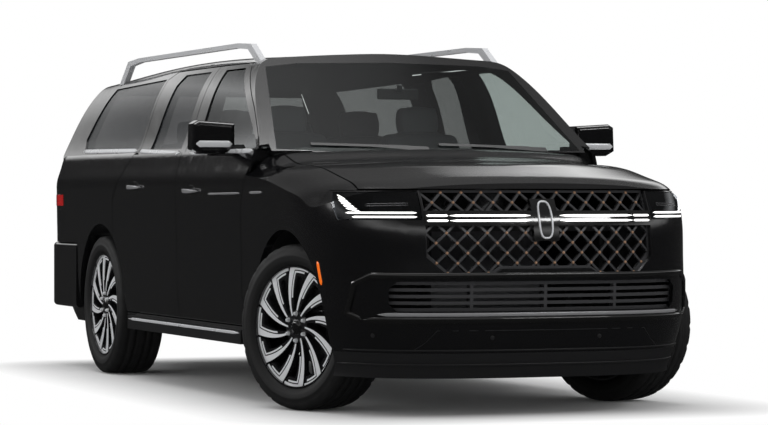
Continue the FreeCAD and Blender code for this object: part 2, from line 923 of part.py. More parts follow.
half_ear = float(S.ear_flat_half)
gate_hinge = Hinge(
    behind(S.gate_hinge_x), S.gate_hinge_height, S.gate_hinge_station,
    bar_arm(float(S.gate_ear_reach), -half_ear, half_ear), bar_arm(-float(S.gate_lug_reach), -half_ear, half_ear),
)
drop_hinge = Hinge(
    tail_x + S.drop_hinge_inset, S.drop_hinge_height, S.drop_hinge_station,
    bar_arm(float(S.drop_ear_reach), -float(S.drop_ear_low), -float(S.drop_ear_high)),
    bar_arm(float(S.drop_lug_reach), 0.0, float(S.drop_lug_rise)),
)
hood_arm = [
    (-half_ear, 0.0),
    (float(S.hood_arm_elbow), -S.hood_arm_low),
    (float(S.hood_arm_reach), -S.hood_arm_low),
    (float(S.hood_arm_reach), float(S.hood_arm_rise)),
    (S.hood_arm_reach - S.hood_arm_thickness, float(S.hood_arm_rise)),
    (S.hood_arm_reach - S.hood_arm_thickness, S.hood_arm_thickness - S.hood_arm_low),
    (float(S.hood_arm_neck), S.hood_arm_thickness - S.hood_arm_low),
    (half_ear, 0.0),
]
hood_hinge = Hinge(
    ahead(S.hood_hinge_x), S.hood_hinge_height, S.hood_hinge_station,
    bar_arm(-float(S.hood_ear_reach), -half_ear, half_ear), hood_arm,
)


# Doors, each as thick as its whole wall

def main_piece(shape):
    """The largest solid of a shape."""
    return max(shape.Solids, key=lambda solid: solid.Volume)


def door_panel(outline, window):
    """The right-hand door: skin, frame and inner panel in one, with its window cut and its edge stepped."""
    prism = side_cut(outline)
    wall = prism.common(block(-BIG, BIG, -BIG, -S.cabin_half_width, 0, S.belt_height))
    frame = prism.common(block(-BIG, BIG, -BIG, 0, S.belt_height, BIG))
    door = lower.common(wall).fuse(upper.common(frame).cut(upper_inner)).cut(side_cut(window))
    for arch in arches:
        door = door.cut(arch)
    step = prism.cut(side_cut(grown(outline, -float(S.door_step))))
    return main_piece(door.cut(step.common(door_lips)))


def mirror_head():
    """The right-hand door mirror: its housing and the arm that joins it to the door."""
    middle = ahead(S.mirror_x)
    half, height = S.mirror_half_width, S.mirror_half_height
    centre = -S.mirror_y
    front = prism_x([
        (centre - half, S.mirror_height - height * 0.7),
        (centre - half * 0.96, S.mirror_height + height * 0.8),
        (centre - half * 0.7, S.mirror_height + height),
        (centre + half, S.mirror_height + height * 0.86),
        (centre + half, S.mirror_height - height * 0.5),
        (centre + half * 0.7, S.mirror_height - height),
        (centre - half * 0.6, S.mirror_height - height),
    ], middle - S.mirror_depth, middle + S.mirror_depth)
    edges = [edge for edge in front.Edges if edge.BoundBox.XMin > middle]
    head = front.makeFillet(float(S.mirror_rounding), edges)
    foot = S.mirror_height - height
    arm = prism_x([
        (centre + half * 0.9, foot + 50), (centre - half * 0.1, foot + 12), (centre - half * 0.1, foot - 10),
        (-S.belt_half_width + 30, foot - 10), (-S.belt_half_width + 30, foot + 50),
    ], middle - S.mirror_depth * 0.8, middle + S.mirror_depth * 0.3)
    return head.fuse(arm)


def door_glass(window):
    """The right-hand pane that fills a side window."""
    outline = grown(window, -S.seat_clearance)
    outer = upper_volume(float(S.glass_set_back)).common(side_cut(outline))
    return outer.cut(upper_volume(float(S.glass_set_back + S.glass_thickness)))


front_door = door_panel(front_door_outline(), front_window_outline()).fuse(mirror_head())
rear_door = door_panel(rear_door_outline(), rear_window_outline())
front_pane = door_glass(front_window_outline()).cut(mirror_head())
rear_pane = door_glass(rear_window_outline())
for side, word in ((LEFT, "left"), (RIGHT, "right")):
    add_node("front_door_" + word, for_side(front_door, side))
    add_node("rear_door_" + word, for_side(rear_door, side))
    add_node("front_door_glass_" + word, for_side(front_pane, side))
    add_node("rear_door_glass_" + word, for_side(rear_pane, side))


# Body shell: floor, sills, pillars, roof, firewall and quarter panels

def gate_outline(grow=0.0):
    """The tail opening seen from behind, as points of (y, z)."""
    return [
        (-S.gate_half_width - grow, S.gate_bottom - grow),
        (-S.gate_half_width - grow, S.belt_height),
        (-S.gate_top_half_width - grow, S.gate_top),
        (-S.gate_top_half_width - grow, S.roof_height + 60),
        (S.gate_top_half_width + grow, S.roof_height + 60),
        (S.gate_top_half_width + grow, S.gate_top),
        (S.gate_half_width + grow, S.belt_height),
        (S.gate_half_width + grow, S.gate_bottom - grow),
    ]


def body_shell():
    firewall_front = ahead(S.firewall_x) + S.firewall_thickness
    tunnel = block(tail_x - 10, firewall_front + 10, -S.sill_inner, S.sill_inner, 0, S.cabin_floor - S.floor_thickness)
    rear_end = behind(S.rear_floor_x) - S.floor_thickness
    tunnel = tunnel.fuse(block(tail_x - 10, rear_end, -S.sill_inner, S.sill_inner, 0, S.rear_floor - S.floor_thickness))
    below = lower.common(block(tail_x - 10, firewall_front, -BIG, BIG, S.sill_low, S.hood_rear_height + 40))
    below = below.cut(tunnel).cut(cabin_box)
    above = upper.cut(cabin_top).cut(cabin_box)
    above = above.cut(block(firewall_front, nose_x, -BIG, BIG, 0, S.belt_height - 30))
    shell = below.fuse(above)
    doorways = []
    for outline in (front_door_outline(), rear_door_outline()):
        opening = grown(outline, float(S.panel_gap))
        low = side_cut(opening, S.cabin_half_width - S.door_room).common(block(-BIG, BIG, -BIG, 0, 0, S.belt_height))
        high = side_cut(opening, S.doorway_inner_y).common(block(-BIG, BIG, -BIG, 0, S.belt_height, BIG))
        doorway = low.fuse(high.cut(upper_inner))
        doorways.append(doorway)
        shell = shell.cut(doorway).cut(mirrored(doorway))
    quarter = side_cut(quarter_window_outline())
    shell = shell.cut(quarter).cut(mirrored(quarter))
    tail_opening = prism_x(gate_outline(float(S.panel_gap)), tail_x - 100, behind(S.cabin_rear_x) + 400)
    shell = shell.cut(tail_opening.common(tail_region(S.gate_wall + S.panel_gap)))
    shell = shell.cut(prism_x(screen_outline(), ahead(-1500), ahead(0)).common(screen_cutter(160.0)))
    fender_zone = prism_y(grown(fender_outline(), float(S.panel_gap)), -BIG, BIG)
    shell = shell.cut(fender_zone.cut(block(-BIG, BIG, -S.cabin_half_width, S.cabin_half_width, 0, BIG)))
    for side in (RIGHT, LEFT):
        shelf_room = block(firewall_front, nose_x, -BIG, -S.cowl_half_width,
                           S.belt_height - S.fender_shelf_depth, S.fender_shelf_top + S.panel_gap)
        shell = shell.cut(for_side(shelf_room, side))
        board_room = block(ahead(S.board_rear_x) - 8, ahead(S.board_front_x) + 8, -BIG, -S.board_inner + 6, 0, S.board_top)
        shell = shell.cut(for_side(board_room, side))
    bumper_zone = block(tail_x - 100, behind(S.rear_bumper_front_x) + 3, -BIG, BIG, 0, S.rear_bumper_top + 3)
    shell = shell.cut(bumper_zone.cut(lower_volume(52.5)))
    corner_lamps = lamp_band(-BIG, -S.gate_half_width, S.lamp_proud + 1.0, float(S.tail_lamp_depth))
    shell = shell.cut(corner_lamps).cut(mirrored(corner_lamps))
    for side in (RIGHT, LEFT):
        liner = rod_y(rear_axle_x, S.tyre_radius, S.arch_radius + S.liner_thickness, -S.cabin_half_width - 40, -S.rear_liner_inner)
        liner = liner.common(block(-BIG, BIG, -BIG, BIG, S.tyre_radius + S.shaft_room, BIG)).cut(doorways[1])
        post = block(ahead(S.door_split_x) - S.b_pillar_width / 2, ahead(S.door_split_x) + S.b_pillar_width / 2,
                     -S.cabin_half_width + S.panel_gap, -S.cabin_half_width + 70, S.cabin_floor - 10, S.belt_height + 4)
        column = upper_volume(S.door_frame_wall + S.panel_gap).cut(upper_volume(S.door_frame_wall + 60.0))
        column = column.common(block(ahead(S.door_split_x) - S.b_pillar_width / 2,
                                     ahead(S.door_split_x) + S.b_pillar_width / 2,
                                     -BIG, -500, S.belt_height - 60, S.roof_edge_height))
        for piece in (liner, post, column):
            shell = shell.fuse(for_side(piece, side))
        wheel_room = rod_y(rear_axle_x, S.tyre_radius, float(S.arch_radius), -S.half_width - 200, -S.rear_liner_inner - S.liner_thickness)
        shell = shell.cut(for_side(wheel_room, side))
        shell = shell.cut(for_side(arches[0], side))
    cowl = block(firewall_front - 1, ahead(0), -S.cowl_half_width, S.cowl_half_width, S.cowl_low, S.cowl_top)
    hood_room = hood_outline(float(S.panel_gap), float(S.panel_gap))
    cowl = cowl.cut(screen_cutter(S.screen_thickness + 3.0)).cut(prism_z(hood_room, 0, BIG))
    shell = shell.fuse(cowl)
    for hinge in (hood_hinge, gate_hinge, drop_hinge):
        shell = hinge.on_fixed(shell)
    return shell


def fender_outline():
    """The front fender seen from the side."""
    return [
        (ahead(S.door_nose_low_x) - 40 + S.panel_gap, S.bumper_bottom),
        (ahead(S.door_nose_low_x) - 40 + S.panel_gap, S.door_bottom - 4),
        (ahead(S.door_nose_low_x) + S.panel_gap, S.door_bottom + 82),
        (ahead(S.door_nose_waist_x) + S.panel_gap, S.door_bottom + 152),
        (ahead(S.door_nose_waist_x) + S.panel_gap, S.door_nose_waist_height),
        (ahead(S.door_nose_top_x) + S.panel_gap, S.door_nose_waist_height + 239),
        (ahead(S.door_nose_top_x) + S.panel_gap, S.hood_rear_height + 60),
        (nose_x, S.hood_rear_height + 60),
        (nose_x, S.fender_strip_low),
        (ahead(S.lamp_tip_top_x), S.fender_strip_low),
        (ahead(S.bumper_seam_top_x), S.bumper_seam_top_height),
        (ahead(S.bumper_seam_low_x), S.bumper_seam_low_height),
        (front_axle_x, S.bumper_bottom),
    ]


def hood_outline(grow=0.0, rear_gap=0.0):
    """The bonnet seen from above, as points of (x, y)."""
    half = S.hood_half_width + grow
    bend = half * S.hood_bend_share
    corner = ahead(S.hood_corner_x) - rear_gap
    rear = ahead(S.hood_rear_x) - rear_gap
    return [
        (nose_x + 50, -half),
        (corner, -half),
        (rear, -bend),
        (rear + S.hood_rear_bow, 0),
        (rear, bend),
        (corner, half),
        (nose_x + 50, half),
    ]


def lamp_region(grow=0.0):
    """The right headlamp's place in the nose."""
    front = prism_x([
        (-S.lamp_inner_y + grow, S.lamp_top + grow),
        (-S.lamp_inner_y + grow, S.lamp_bottom - grow),
        (-S.half_width - 60, S.lamp_bottom - grow),
        (-S.half_width - 60, S.lamp_top - 8 + grow),
    ], front_axle_x, nose_x + 60)
    side = prism_y([
        (ahead(S.lamp_tip_top_x) - grow, S.lamp_top + 40),
        (ahead(S.lamp_tip_low_x) - grow, S.lamp_bottom - 40),
        (nose_x + 80, S.lamp_bottom - 40),
        (nose_x + 80, S.lamp_top + 40),
    ], -BIG, 0)
    return front.common(side)


def grille_outline(grow=0.0):
    """The grille opening seen from the front, as points of (y, z)."""
    right = [
        (0.0, S.grille_middle_height),
        (-S.grille_middle_y, S.grille_middle_height),
        (-S.grille_foot_inner_y, S.grille_foot_height),
        (-S.grille_foot_outer_y, S.grille_foot_height),
        (-S.grille_half_width, S.grille_corner_height),
        (-S.grille_half_width, S.grille_top),
    ]
    whole = right[1:] + [(-y, z) for y, z in reversed(right[1:])]
    return grown(whole, grow) if grow else whole


def intake_outline(grow=0.0):
    """The lower air intake seen from the front, as points of (y, z)."""
    half = S.intake_half_width
    corner = 34
    outline = [
        (-half, S.intake_bottom + corner), (-half, S.intake_top - corner), (-half + corner, S.intake_top),
        (half - corner, S.intake_top), (half, S.intake_top - corner), (half, S.intake_bottom + corner),
        (half - corner, S.intake_bottom), (-half + corner, S.intake_bottom),
    ]
    return grown(outline, grow) if grow else outline


def hood_panel():
    panel = front_end.cut(top_volume(float(S.hood_thickness)))
    panel = panel.common(prism_z(hood_outline(), S.hood_low_edge, BIG))
    lip = front_end.cut(front_hollow).common(prism_z(hood_outline(), S.hood_low_edge, BIG))
    lip = lip.common(block(ahead(S.hood_front_x) - S.nose_rounding, nose_x, -BIG, BIG, 0, BIG))
    return panel.fuse(lip).removeSplitter()


def front_fender():
    """The right front fender's skin."""
    skin = front_end.cut(front_hollow)
    skin = skin.common(prism_y(fender_outline(), -BIG, -S.hood_half_width - S.panel_gap + 150))
    top = prism_z(hood_outline(float(S.panel_gap), float(S.hood_rear_gap)), S.hood_low_edge - 60, BIG)
    return skin.cut(top).cut(lamp_region(3.0)).cut(arches[0]).removeSplitter()


def bumper_cover():
    zone = prism_y([
        (ahead(S.bumper_seam_top_x) + 3, S.bumper_seam_top_height),
        (ahead(S.bumper_seam_low_x) + 3, S.bumper_seam_low_height),
        (front_axle_x + 60, S.bumper_bottom),
        (nose_x + 60, S.bumper_bottom),
        (nose_x + 60, S.hood_low_edge - S.panel_gap),
        (ahead(S.lamp_tip_top_x) + 3, S.hood_low_edge - S.panel_gap),
    ], -BIG, BIG)
    cover = front_end.cut(front_hollow).common(zone)
    cover = cover.cut(prism_x(grille_outline(), front_axle_x, nose_x + 60))
    cover = cover.cut(prism_x(intake_outline(), front_axle_x, nose_x + 60))
    for side in (RIGHT, LEFT):
        cover = cover.cut(for_side(lamp_region(3.0), side)).cut(for_side(arches[0], side))
    return cover.cut(block(front_axle_x, nose_x + 60, -BIG, BIG, S.fender_strip_low - 3, BIG)).removeSplitter()


def nose_slice(outline, set_back, depth):
    """A slab that follows the nose's surface behind it, inside an outline seen from the front."""
    slab = lower_volume(float(set_back)).cut(lower_volume(float(set_back + depth)))
    return slab.common(prism_x(outline, ahead(300), nose_x + 60))


add_node("hood", hood_hinge.on_moving(hood_panel()))
add_node("front_fenders", both(front_fender()))
add_node("front_bumper", bumper_cover())


def mesh_bars():
    """The two families of crossing bars of the grille, as prisms along the vehicle."""
    reach = S.grille_top - S.grille_foot_height
    run = reach * S.mesh_pitch / S.mesh_rise
    half = S.mesh_bar / 2 * math.hypot(S.mesh_pitch, S.mesh_rise) / S.mesh_rise
    count = int((S.grille_half_width + run / 2) / S.mesh_pitch) + 1
    bars = []
    for lean in (-1, 1):
        for index in range(-count, count + 1):
            low, high = index * S.mesh_pitch - lean * run / 2, index * S.mesh_pitch + lean * run / 2
            bars.append(prism_x([
                (low - half, float(S.grille_foot_height)), (low + half, float(S.grille_foot_height)),
                (high + half, float(S.grille_top)), (high - half, float(S.grille_top)),
            ], ahead(300), nose_x + 60))
    return bars


def grille():
    """The diamond mesh inside its frame, following the nose."""
    slab = nose_slice(grille_outline(-S.seat_clearance), S.grille_set_back, S.mesh_depth)
    bars = mesh_bars()
    mesh = slab.common(bars[0].multiFuse(bars[1:]))
    frame = slab.cut(prism_x(grille_outline(-S.mesh_frame), ahead(300), nose_x + 60))
    return mesh.fuse(frame)


add_node("grille", grille())
lamp = front_end.cut(lower_volume(float(S.lamp_depth))).common(lamp_region(-0.3))
add_node("headlamps", both(lamp))


def front_structure():
    """Aprons, wheel liners, lamp seats and the cross shelf, which carry the whole nose."""
    inside = lower_volume(S.skin_thickness + S.seat_clearance).common(top_volume(S.hood_thickness + S.hood_clearance))
    apron_end = ahead(S.firewall_x) + S.firewall_thickness + S.seat_clearance
    apron_in, apron_out = S.front_liner_inner - S.apron_thickness, S.front_liner_inner + 4
    apron = block(apron_end, ahead(S.carrier_x), -apron_out, -apron_in, S.tower_top + S.seat_clearance, S.apron_top)
    liner = rod_y(front_axle_x, S.tyre_radius, S.arch_radius + S.liner_thickness, -S.half_width, -S.front_liner_inner)
    liner = liner.common(block(-BIG, BIG, -BIG, BIG, S.bumper_bottom + 30, BIG)).cut(arches[0])
    crown = S.tyre_radius + S.arch_radius
    shelf = block(ahead(-S.shelf_half_run), ahead(S.shelf_half_run), -BIG, -apron_in, crown + 4, S.apron_top)
    carrier = block(ahead(S.carrier_x) - S.carrier_thickness, ahead(S.carrier_x), -BIG, 1,
                    S.rail_low + S.rail_depth + S.seat_clearance, S.apron_top)
    window = block(ahead(0), nose_x, -S.carrier_window_y, 10, S.intake_bottom - 40, S.carrier_window_top)
    carrier = carrier.cut(window)
    beam = block(ahead(S.carrier_x) - 5, nose_x, -BIG, 1, S.intake_top + 5, S.grille_foot_height - 5)
    right = apron.fuse(liner).fuse(shelf).fuse(carrier).fuse(beam).common(inside)
    seat = block(ahead(S.carrier_x) - S.carrier_thickness, ahead(S.lamp_seat_x), -S.lamp_seat_outer, -S.lamp_seat_inner,
                 S.apron_top - 5, S.lamp_top - 20)
    right = right.cut(lamp_region(6.0)).fuse(seat.common(lower_volume(S.lamp_depth + S.seat_clearance)).common(inside))
    return main_piece(right.fuse(mirrored(right)))


def front_valance():
    """The dark lower apron below the bumper cover."""
    apron = lower.cut(lower_skin)
    zone = block(front_axle_x + 100, nose_x + 60, -BIG, BIG, 0, S.bumper_bottom - S.seat_clearance)
    apron = apron.common(zone)
    for side in (RIGHT, LEFT):
        apron = apron.cut(for_side(arches[0], side))
    return apron


def intake_slats():
    """The slats of the lower intake and the posts that carry them."""
    slab = nose_slice(intake_outline(-S.seat_clearance), S.grille_set_back, S.grille_depth)
    pitch = (S.intake_top - S.intake_bottom) / (2 * S.intake_slats - 1)
    for index in range(int(S.intake_slats) - 1):
        low = S.intake_bottom + pitch * (2 * index + 1)
        for span in (-2, -1, 0, 1):
            width = S.intake_half_width / 2
            slab = slab.cut(block(ahead(300), nose_x + 60, span * width + 8, (span + 1) * width - 8, low, low + pitch))
    return slab


def light_bar():
    """The bright bar across the grille, with the bare plate in its middle."""
    bar = lower_volume(-float(S.bar_proud)).cut(lower_volume(float(S.grille_set_back - S.seat_clearance)))
    reach = [
        (-S.grille_half_width + 1, S.bar_low), (S.grille_half_width - 1, S.bar_low),
        (S.grille_half_width - 1, S.bar_high), (-S.grille_half_width + 1, S.bar_high),
    ]
    plate = [
        (-S.badge_half_width, S.badge_low), (S.badge_half_width, S.badge_low),
        (S.badge_half_width, S.badge_high), (-S.badge_half_width, S.badge_high),
    ]
    outline = prism_x(reach, ahead(300), nose_x + 60).fuse(prism_x(plate, ahead(300), nose_x + 60))
    return bar.common(outline)


def screen_outline(grow=0.0):
    """The windscreen seen from the front, as points of (y, z)."""
    low, top = S.screen_low_half, S.screen_top_half
    right = [
        (0.0, S.screen_base_height - S.screen_low_rise),
        (-low * 0.55, S.screen_base_height - S.screen_low_rise + 2),
        (-low, S.screen_base_height + 8),
        (-top, S.screen_top_height - 38),
        (-top * 0.75, S.screen_top_height - 16),
        (0.0, S.screen_top_height - 6),
    ]
    whole = right + [(-y, z) for y, z in reversed(right[1:-1])]
    return grown(whole, grow) if grow else whole


def windscreen():
    """The bowed front glass, seated in its opening."""
    layer = screen_cutter(float(S.screen_thickness)).cut(screen_cutter())
    return layer.common(prism_x(screen_outline(-S.seat_clearance), ahead(-1500), ahead(0)))


def wipers():
    """Two parked wipers: blades and arms that lie on the glass, and their spindles on the cowl."""
    layer = screen_cutter(-S.seat_clearance).cut(screen_cutter(-S.seat_clearance - S.wiper_depth))
    pieces = []
    for pivot in (S.wiper_pivot_left, S.wiper_pivot_right):
        tip = pivot - S.wiper_length
        low = S.wiper_height
        blade = [(pivot - 90, low), (pivot - 90, low + S.wiper_width), (tip, low + S.wiper_width + 14), (tip, low + 14)]
        arm = [
            (pivot + 12, low - 14), (pivot + 12, low + 8), (pivot - S.wiper_length * 0.5, low + 18),
            (pivot - S.wiper_length * 0.5, low + 6), (pivot - 20, low - 14),
        ]
        for outline in (blade, arm):
            pieces.append(prism_x(outline, ahead(-700), ahead(0)))
    wiper = layer.common(pieces[0].fuse(pieces[1]).fuse(pieces[2]).fuse(pieces[3]))
    return wiper


# Tail

def tail_region(wall):
    """Everything behind the inner face of the tail's wall."""
    end = behind(S.gate_hinge_x) + (S.gate_roof_gap if wall > S.gate_wall else 0.0)
    above = tail_cutter(float(wall)).common(block(-BIG, end, -BIG, BIG, S.belt_height - 1, BIG))
    return above.fuse(block(-BIG, behind(S.cabin_rear_x) + wall - S.gate_wall, -BIG, BIG, 0, S.belt_height))


def gate_window(grow=0.0):
    """The tailgate's window seen from behind, as points of (y, z)."""
    low_half = S.gate_half_width - 90
    top_half = S.gate_top_half_width + 30
    outline = [
        (-low_half, S.gate_glass_low), (-top_half, S.gate_glass_high),
        (top_half, S.gate_glass_high), (low_half, S.gate_glass_low),
    ]
    return grown(outline, grow) if grow else outline


def tail_solid():
    whole = lower.fuse(upper)
    zone = prism_x(gate_outline(), tail_x - 100, behind(S.cabin_rear_x) + 400)
    return whole.common(zone).common(tail_region(float(S.gate_wall)))


def lamp_band(low_y, high_y, outside, depth):
    """A strip of lamp lens on the tail, between two distances from the middle on both sides."""
    strip = lower_volume(-outside).cut(lower_volume(depth))
    zone = block(tail_x - 50, behind(S.tail_lamp_front_x), low_y, high_y, S.tail_lamp_low, S.tail_lamp_high)
    return strip.common(zone)


def below_split(height, fall):
    """Everything below the split between the tailgate's halves, which falls towards the inside."""
    outer, inner = tail_x + S.drop_hinge_inset + 15, behind(S.drop_gate_inner_x)
    slope = fall / (inner - outer)
    return prism_y([
        (outer - 300, height), (outer, height), (inner + 100, height - slope * (inner + 100 - outer)),
        (inner + 100, 0), (outer - 300, 0),
    ], -BIG, BIG)


tail = tail_solid()
gate_lamp_room = block(tail_x - 50, behind(S.tail_lamp_front_x), -S.gate_half_width - 1, S.gate_half_width + 1,
                       S.tail_lamp_low - S.seat_clearance, S.tail_lamp_high + S.seat_clearance)
gate_lamp_room = gate_lamp_room.cut(lower_volume(S.tail_lamp_depth + S.seat_clearance))
upper_gate = tail.cut(below_split(S.gate_split + S.gate_split_gap, S.gate_lid_fall))
upper_gate = upper_gate.cut(prism_x(gate_window(), tail_x - 100, behind(S.cabin_rear_x) + 400)).cut(gate_lamp_room)
flange = block(-BIG, BIG, -BIG, BIG, S.belt_height - 1, BIG).cut(tail_cutter(float(S.gate_skin)))
upper_gate = upper_gate.cut(flange.cut(prism_x(gate_outline(-float(S.gate_flange)), -BIG, BIG)))
lower_gate = tail.common(below_split(float(S.gate_split), S.gate_split_fall))
lower_gate = lower_gate.common(block(tail_x - 50, behind(S.drop_gate_inner_x), -BIG, BIG, 0, BIG))
pane = prism_x(gate_window(-S.seat_clearance), tail_x, behind(S.cabin_rear_x) + 400)
pane = pane.common(tail_cutter(float(S.gate_glass_depth))).cut(tail_cutter(S.gate_glass_depth - S.glass_thickness))
add_node("liftgate", gate_hinge.on_moving(upper_gate))
add_node("liftgate_glass", pane)
lens_half = S.gate_half_width - S.seat_clearance
add_node("liftgate_lamp", lamp_band(-lens_half, lens_half, float(S.lamp_proud), float(S.tail_lamp_depth)))
add_node("drop_tailgate", drop_hinge.on_moving(lower_gate))
corner = lamp_band(-BIG, -S.gate_half_width - S.panel_gap, float(S.lamp_proud), S.tail_lamp_depth - S.seat_clearance)
corner = corner.common(block(
    tail_x - 50, behind(S.tail_lamp_front_x) - S.seat_clearance, -BIG, 0,
    S.tail_lamp_low + S.seat_clearance, S.tail_lamp_high - S.seat_clearance,
))
add_node("tail_lamps", both(corner))


def rear_bumper():
    """The rear bumper's cover, which stands proud of the tail."""
    outline = section_wire(float(S.rear_bumper_low), S.half_width - S.bumper_inset, nose_x - 400, tail_x)
    block_out = Part.Face(outline).extrude(Vector(0, 0, S.rear_bumper_top - S.rear_bumper_low))
    edges = [edge for edge in block_out.Edges if edge.BoundBox.ZLength < 1 and edge.Length > 1000]
    block_out = block_out.makeFillet(float(S.bumper_edge), edges)
    cover = block_out.common(block(tail_x - 10, behind(S.rear_bumper_front_x), -BIG, BIG, 0, BIG)).cut(lower_volume(52.0))
    for side in (RIGHT, LEFT):
        cover = cover.cut(for_side(arches[1], side))
    return cover


add_node("body_shell", body_shell())
add_node("rear_bumper", rear_bumper())
add_node("windscreen", windscreen())
add_node("wipers", wipers())
quarter_pane = door_glass(quarter_window_outline())
add_node("quarter_glass", both(quarter_pane))
add_node("front_structure", front_structure())
add_node("front_valance", front_valance())
add_node("intake_slats", intake_slats())
add_node("light_bar", light_bar())


# Sub-parts made from sketches and primitives

def body_plane(body, role):
    """One of a body's own origin planes."""
    return next(feature for feature in body.Origin.OriginFeatures if feature.Role == role)


def new_body(name):
    body = doc.addObject("PartDesign::Body", name)
    body.Label = name
    nodes[name] = body
    return body


def sketch_on(body, role, name, shift=None):
    """An empty sketch on an origin plane, moved along the plane's normal by a Size."""
    sketch = body.newObject("Sketcher::SketchObject", name)
    sketch.AttachmentSupport = [(body_plane(body, role), "")]
    sketch.MapMode = "FlatFace"
    if shift is not None:
        sketch.setExpression("AttachmentOffset.Base.z", shift.formula)
    return sketch


def draw_outline(sketch, corners):
    """Draws a closed outline whose corners are pairs of Sizes."""
    count = len(corners)
    first = sketch.GeometryCount
    for index in range(count):
        start, end = corners[index], corners[(index + 1) % count]
        line = Part.LineSegment(Vector(start[0], start[1], 0), Vector(end[0], end[1], 0))
        sketch.addGeometry(line, False)
    for index in range(count):
        current, following = first + index, first + (index + 1) % count
        sketch.addConstraint(Sketcher.Constraint("Coincident", current, 2, following, 1))
    for index, corner in enumerate(corners):
        for kind, value in (("DistanceX", corner[0]), ("DistanceY", corner[1])):
            place = sketch.addConstraint(Sketcher.Constraint(kind, -1, 1, first + index, 1, float(value)))
            if hasattr(value, "formula"):
                sketch.setExpression("Constraints[%d]" % place, value.formula)


def draw_circle(sketch, across, up, radius):
    """Draws a circle from three Sizes."""
    circle = sketch.addGeometry(Part.Circle(Vector(across, up, 0), Vector(0, 0, 1), radius), False)
    for kind, value in (("DistanceX", across), ("DistanceY", up)):
        place = sketch.addConstraint(Sketcher.Constraint(kind, -1, 1, circle, 3, float(value)))
        if hasattr(value, "formula"):
            sketch.setExpression("Constraints[%d]" % place, value.formula)
    place = sketch.addConstraint(Sketcher.Constraint("Radius", circle, float(radius)))
    if hasattr(radius, "formula"):
        sketch.setExpression("Constraints[%d]" % place, radius.formula)


def pad(body, sketch, name, depth, middle=False, back=False):
    feature = body.newObject("PartDesign::Pad", name)
    feature.Profile = sketch
    feature.Length = float(depth)
    if hasattr(depth, "formula"):
        feature.setExpression("Length", depth.formula)
    feature.Midplane = middle
    feature.Reversed = back
    return feature


def pocket(body, sketch, name, depth, middle=False, back=False):
    feature = body.newObject("PartDesign::Pocket", name)
    feature.Profile = sketch
    feature.Length = float(depth)
    if hasattr(depth, "formula"):
        feature.setExpression("Length", depth.formula)
    feature.Midplane = middle
    feature.Reversed = back
    return feature


def revolution(body, sketch, name, axis="V_Axis"):
    feature = body.newObject("PartDesign::Revolution", name)
    feature.Profile = sketch
    feature.ReferenceAxis = (sketch, [axis])
    feature.Angle = 360
    return feature


def bind(feature, prop, value):
    """Sets a property of a feature and ties it to its formula in the sheet."""
    if hasattr(value, "formula"):
        feature.setExpression(prop, value.formula)
    elif "." in prop:
        feature.setExpression(prop, repr(float(value)))
    else:
        setattr(feature, prop, float(value))


def box(name, x0, x1, y0, y1, z0, z1):
    """A Part::Box between two corners, all of its sizes bound."""
    feature = doc.addObject("Part::Box", name)
    for prop, low, high in (("Length", x0, x1), ("Width", y0, y1), ("Height", z0, z1)):
        bind(feature, prop, high - low)
    for prop, low in (("Placement.Base.x", x0), ("Placement.Base.y", y0), ("Placement.Base.z", z0)):
        bind(feature, prop, low)
    return feature


AXES = {"x": (Vector(0, 1, 0), 90), "y": (Vector(1, 0, 0), -90), "z": (Vector(0, 0, 1), 0)}


def rod(name, axis, x, y, z, radius, run):
    """A Part::Cylinder from a point along an axis."""
    feature = doc.addObject("Part::Cylinder", name)
    bind(feature, "Radius", radius)
    bind(feature, "Height", run)
    direction, angle = AXES[axis]
    feature.Placement = Placement(Vector(x, y, z), Rotation(direction, angle))
    for prop, value in (("Placement.Base.x", x), ("Placement.Base.y", y), ("Placement.Base.z", z)):
        bind(feature, prop, value)
    return feature


def strut(name, start, end, radius):
    """A Part::Cylinder between two points of Sizes."""
    feature = doc.addObject("Part::Cylinder", name)
    bind(feature, "Radius", radius)
    low, high = Vector(*start), Vector(*end)
    feature.Height = (high - low).Length
    feature.Placement = Placement(low, Rotation(Vector(0, 0, 1), high - low))
    return feature


def joined(name, features):
    """Fuses features into one sub-part."""
    if len(features) == 1:
        features[0].Label = name
        nodes[name] = features[0]
        return features[0]
    fusion = doc.addObject("Part::MultiFuse", name)
    fusion.Label = name
    fusion.Shapes = features
    nodes[name] = fusion
    return fusion


def sides(side, near, far):
    """Low and high y of a piece between two distances from the middle, on one side."""
    return (near, far) if side == LEFT else (-far, -near)


# Chassis frame: two rails, cross members and body mounts, with a tow receiver

def frame_side(side):
    y0, y1 = sides(side, S.rail_inner_y, S.rail_inner_y + S.rail_width)
    features = [box("Rail", behind(S.rail_rear_x), ahead(S.rail_front_x), y0, y1, S.rail_low, S.rail_low + S.rail_depth)]
    mounts = [ahead(S.firewall_x) - 80, ahead(S.door_split_x), behind(S.rear_door_back_x) + 120]
    for station in mounts:
        middle = (S.rail_inner_y + S.rail_width / 2) * side
        height = S.cabin_floor - S.floor_thickness - S.rail_low - S.rail_depth
        features.append(rod("BodyMount", "z", station, middle, S.rail_low + S.rail_depth, S.body_mount_radius, height))
    return features


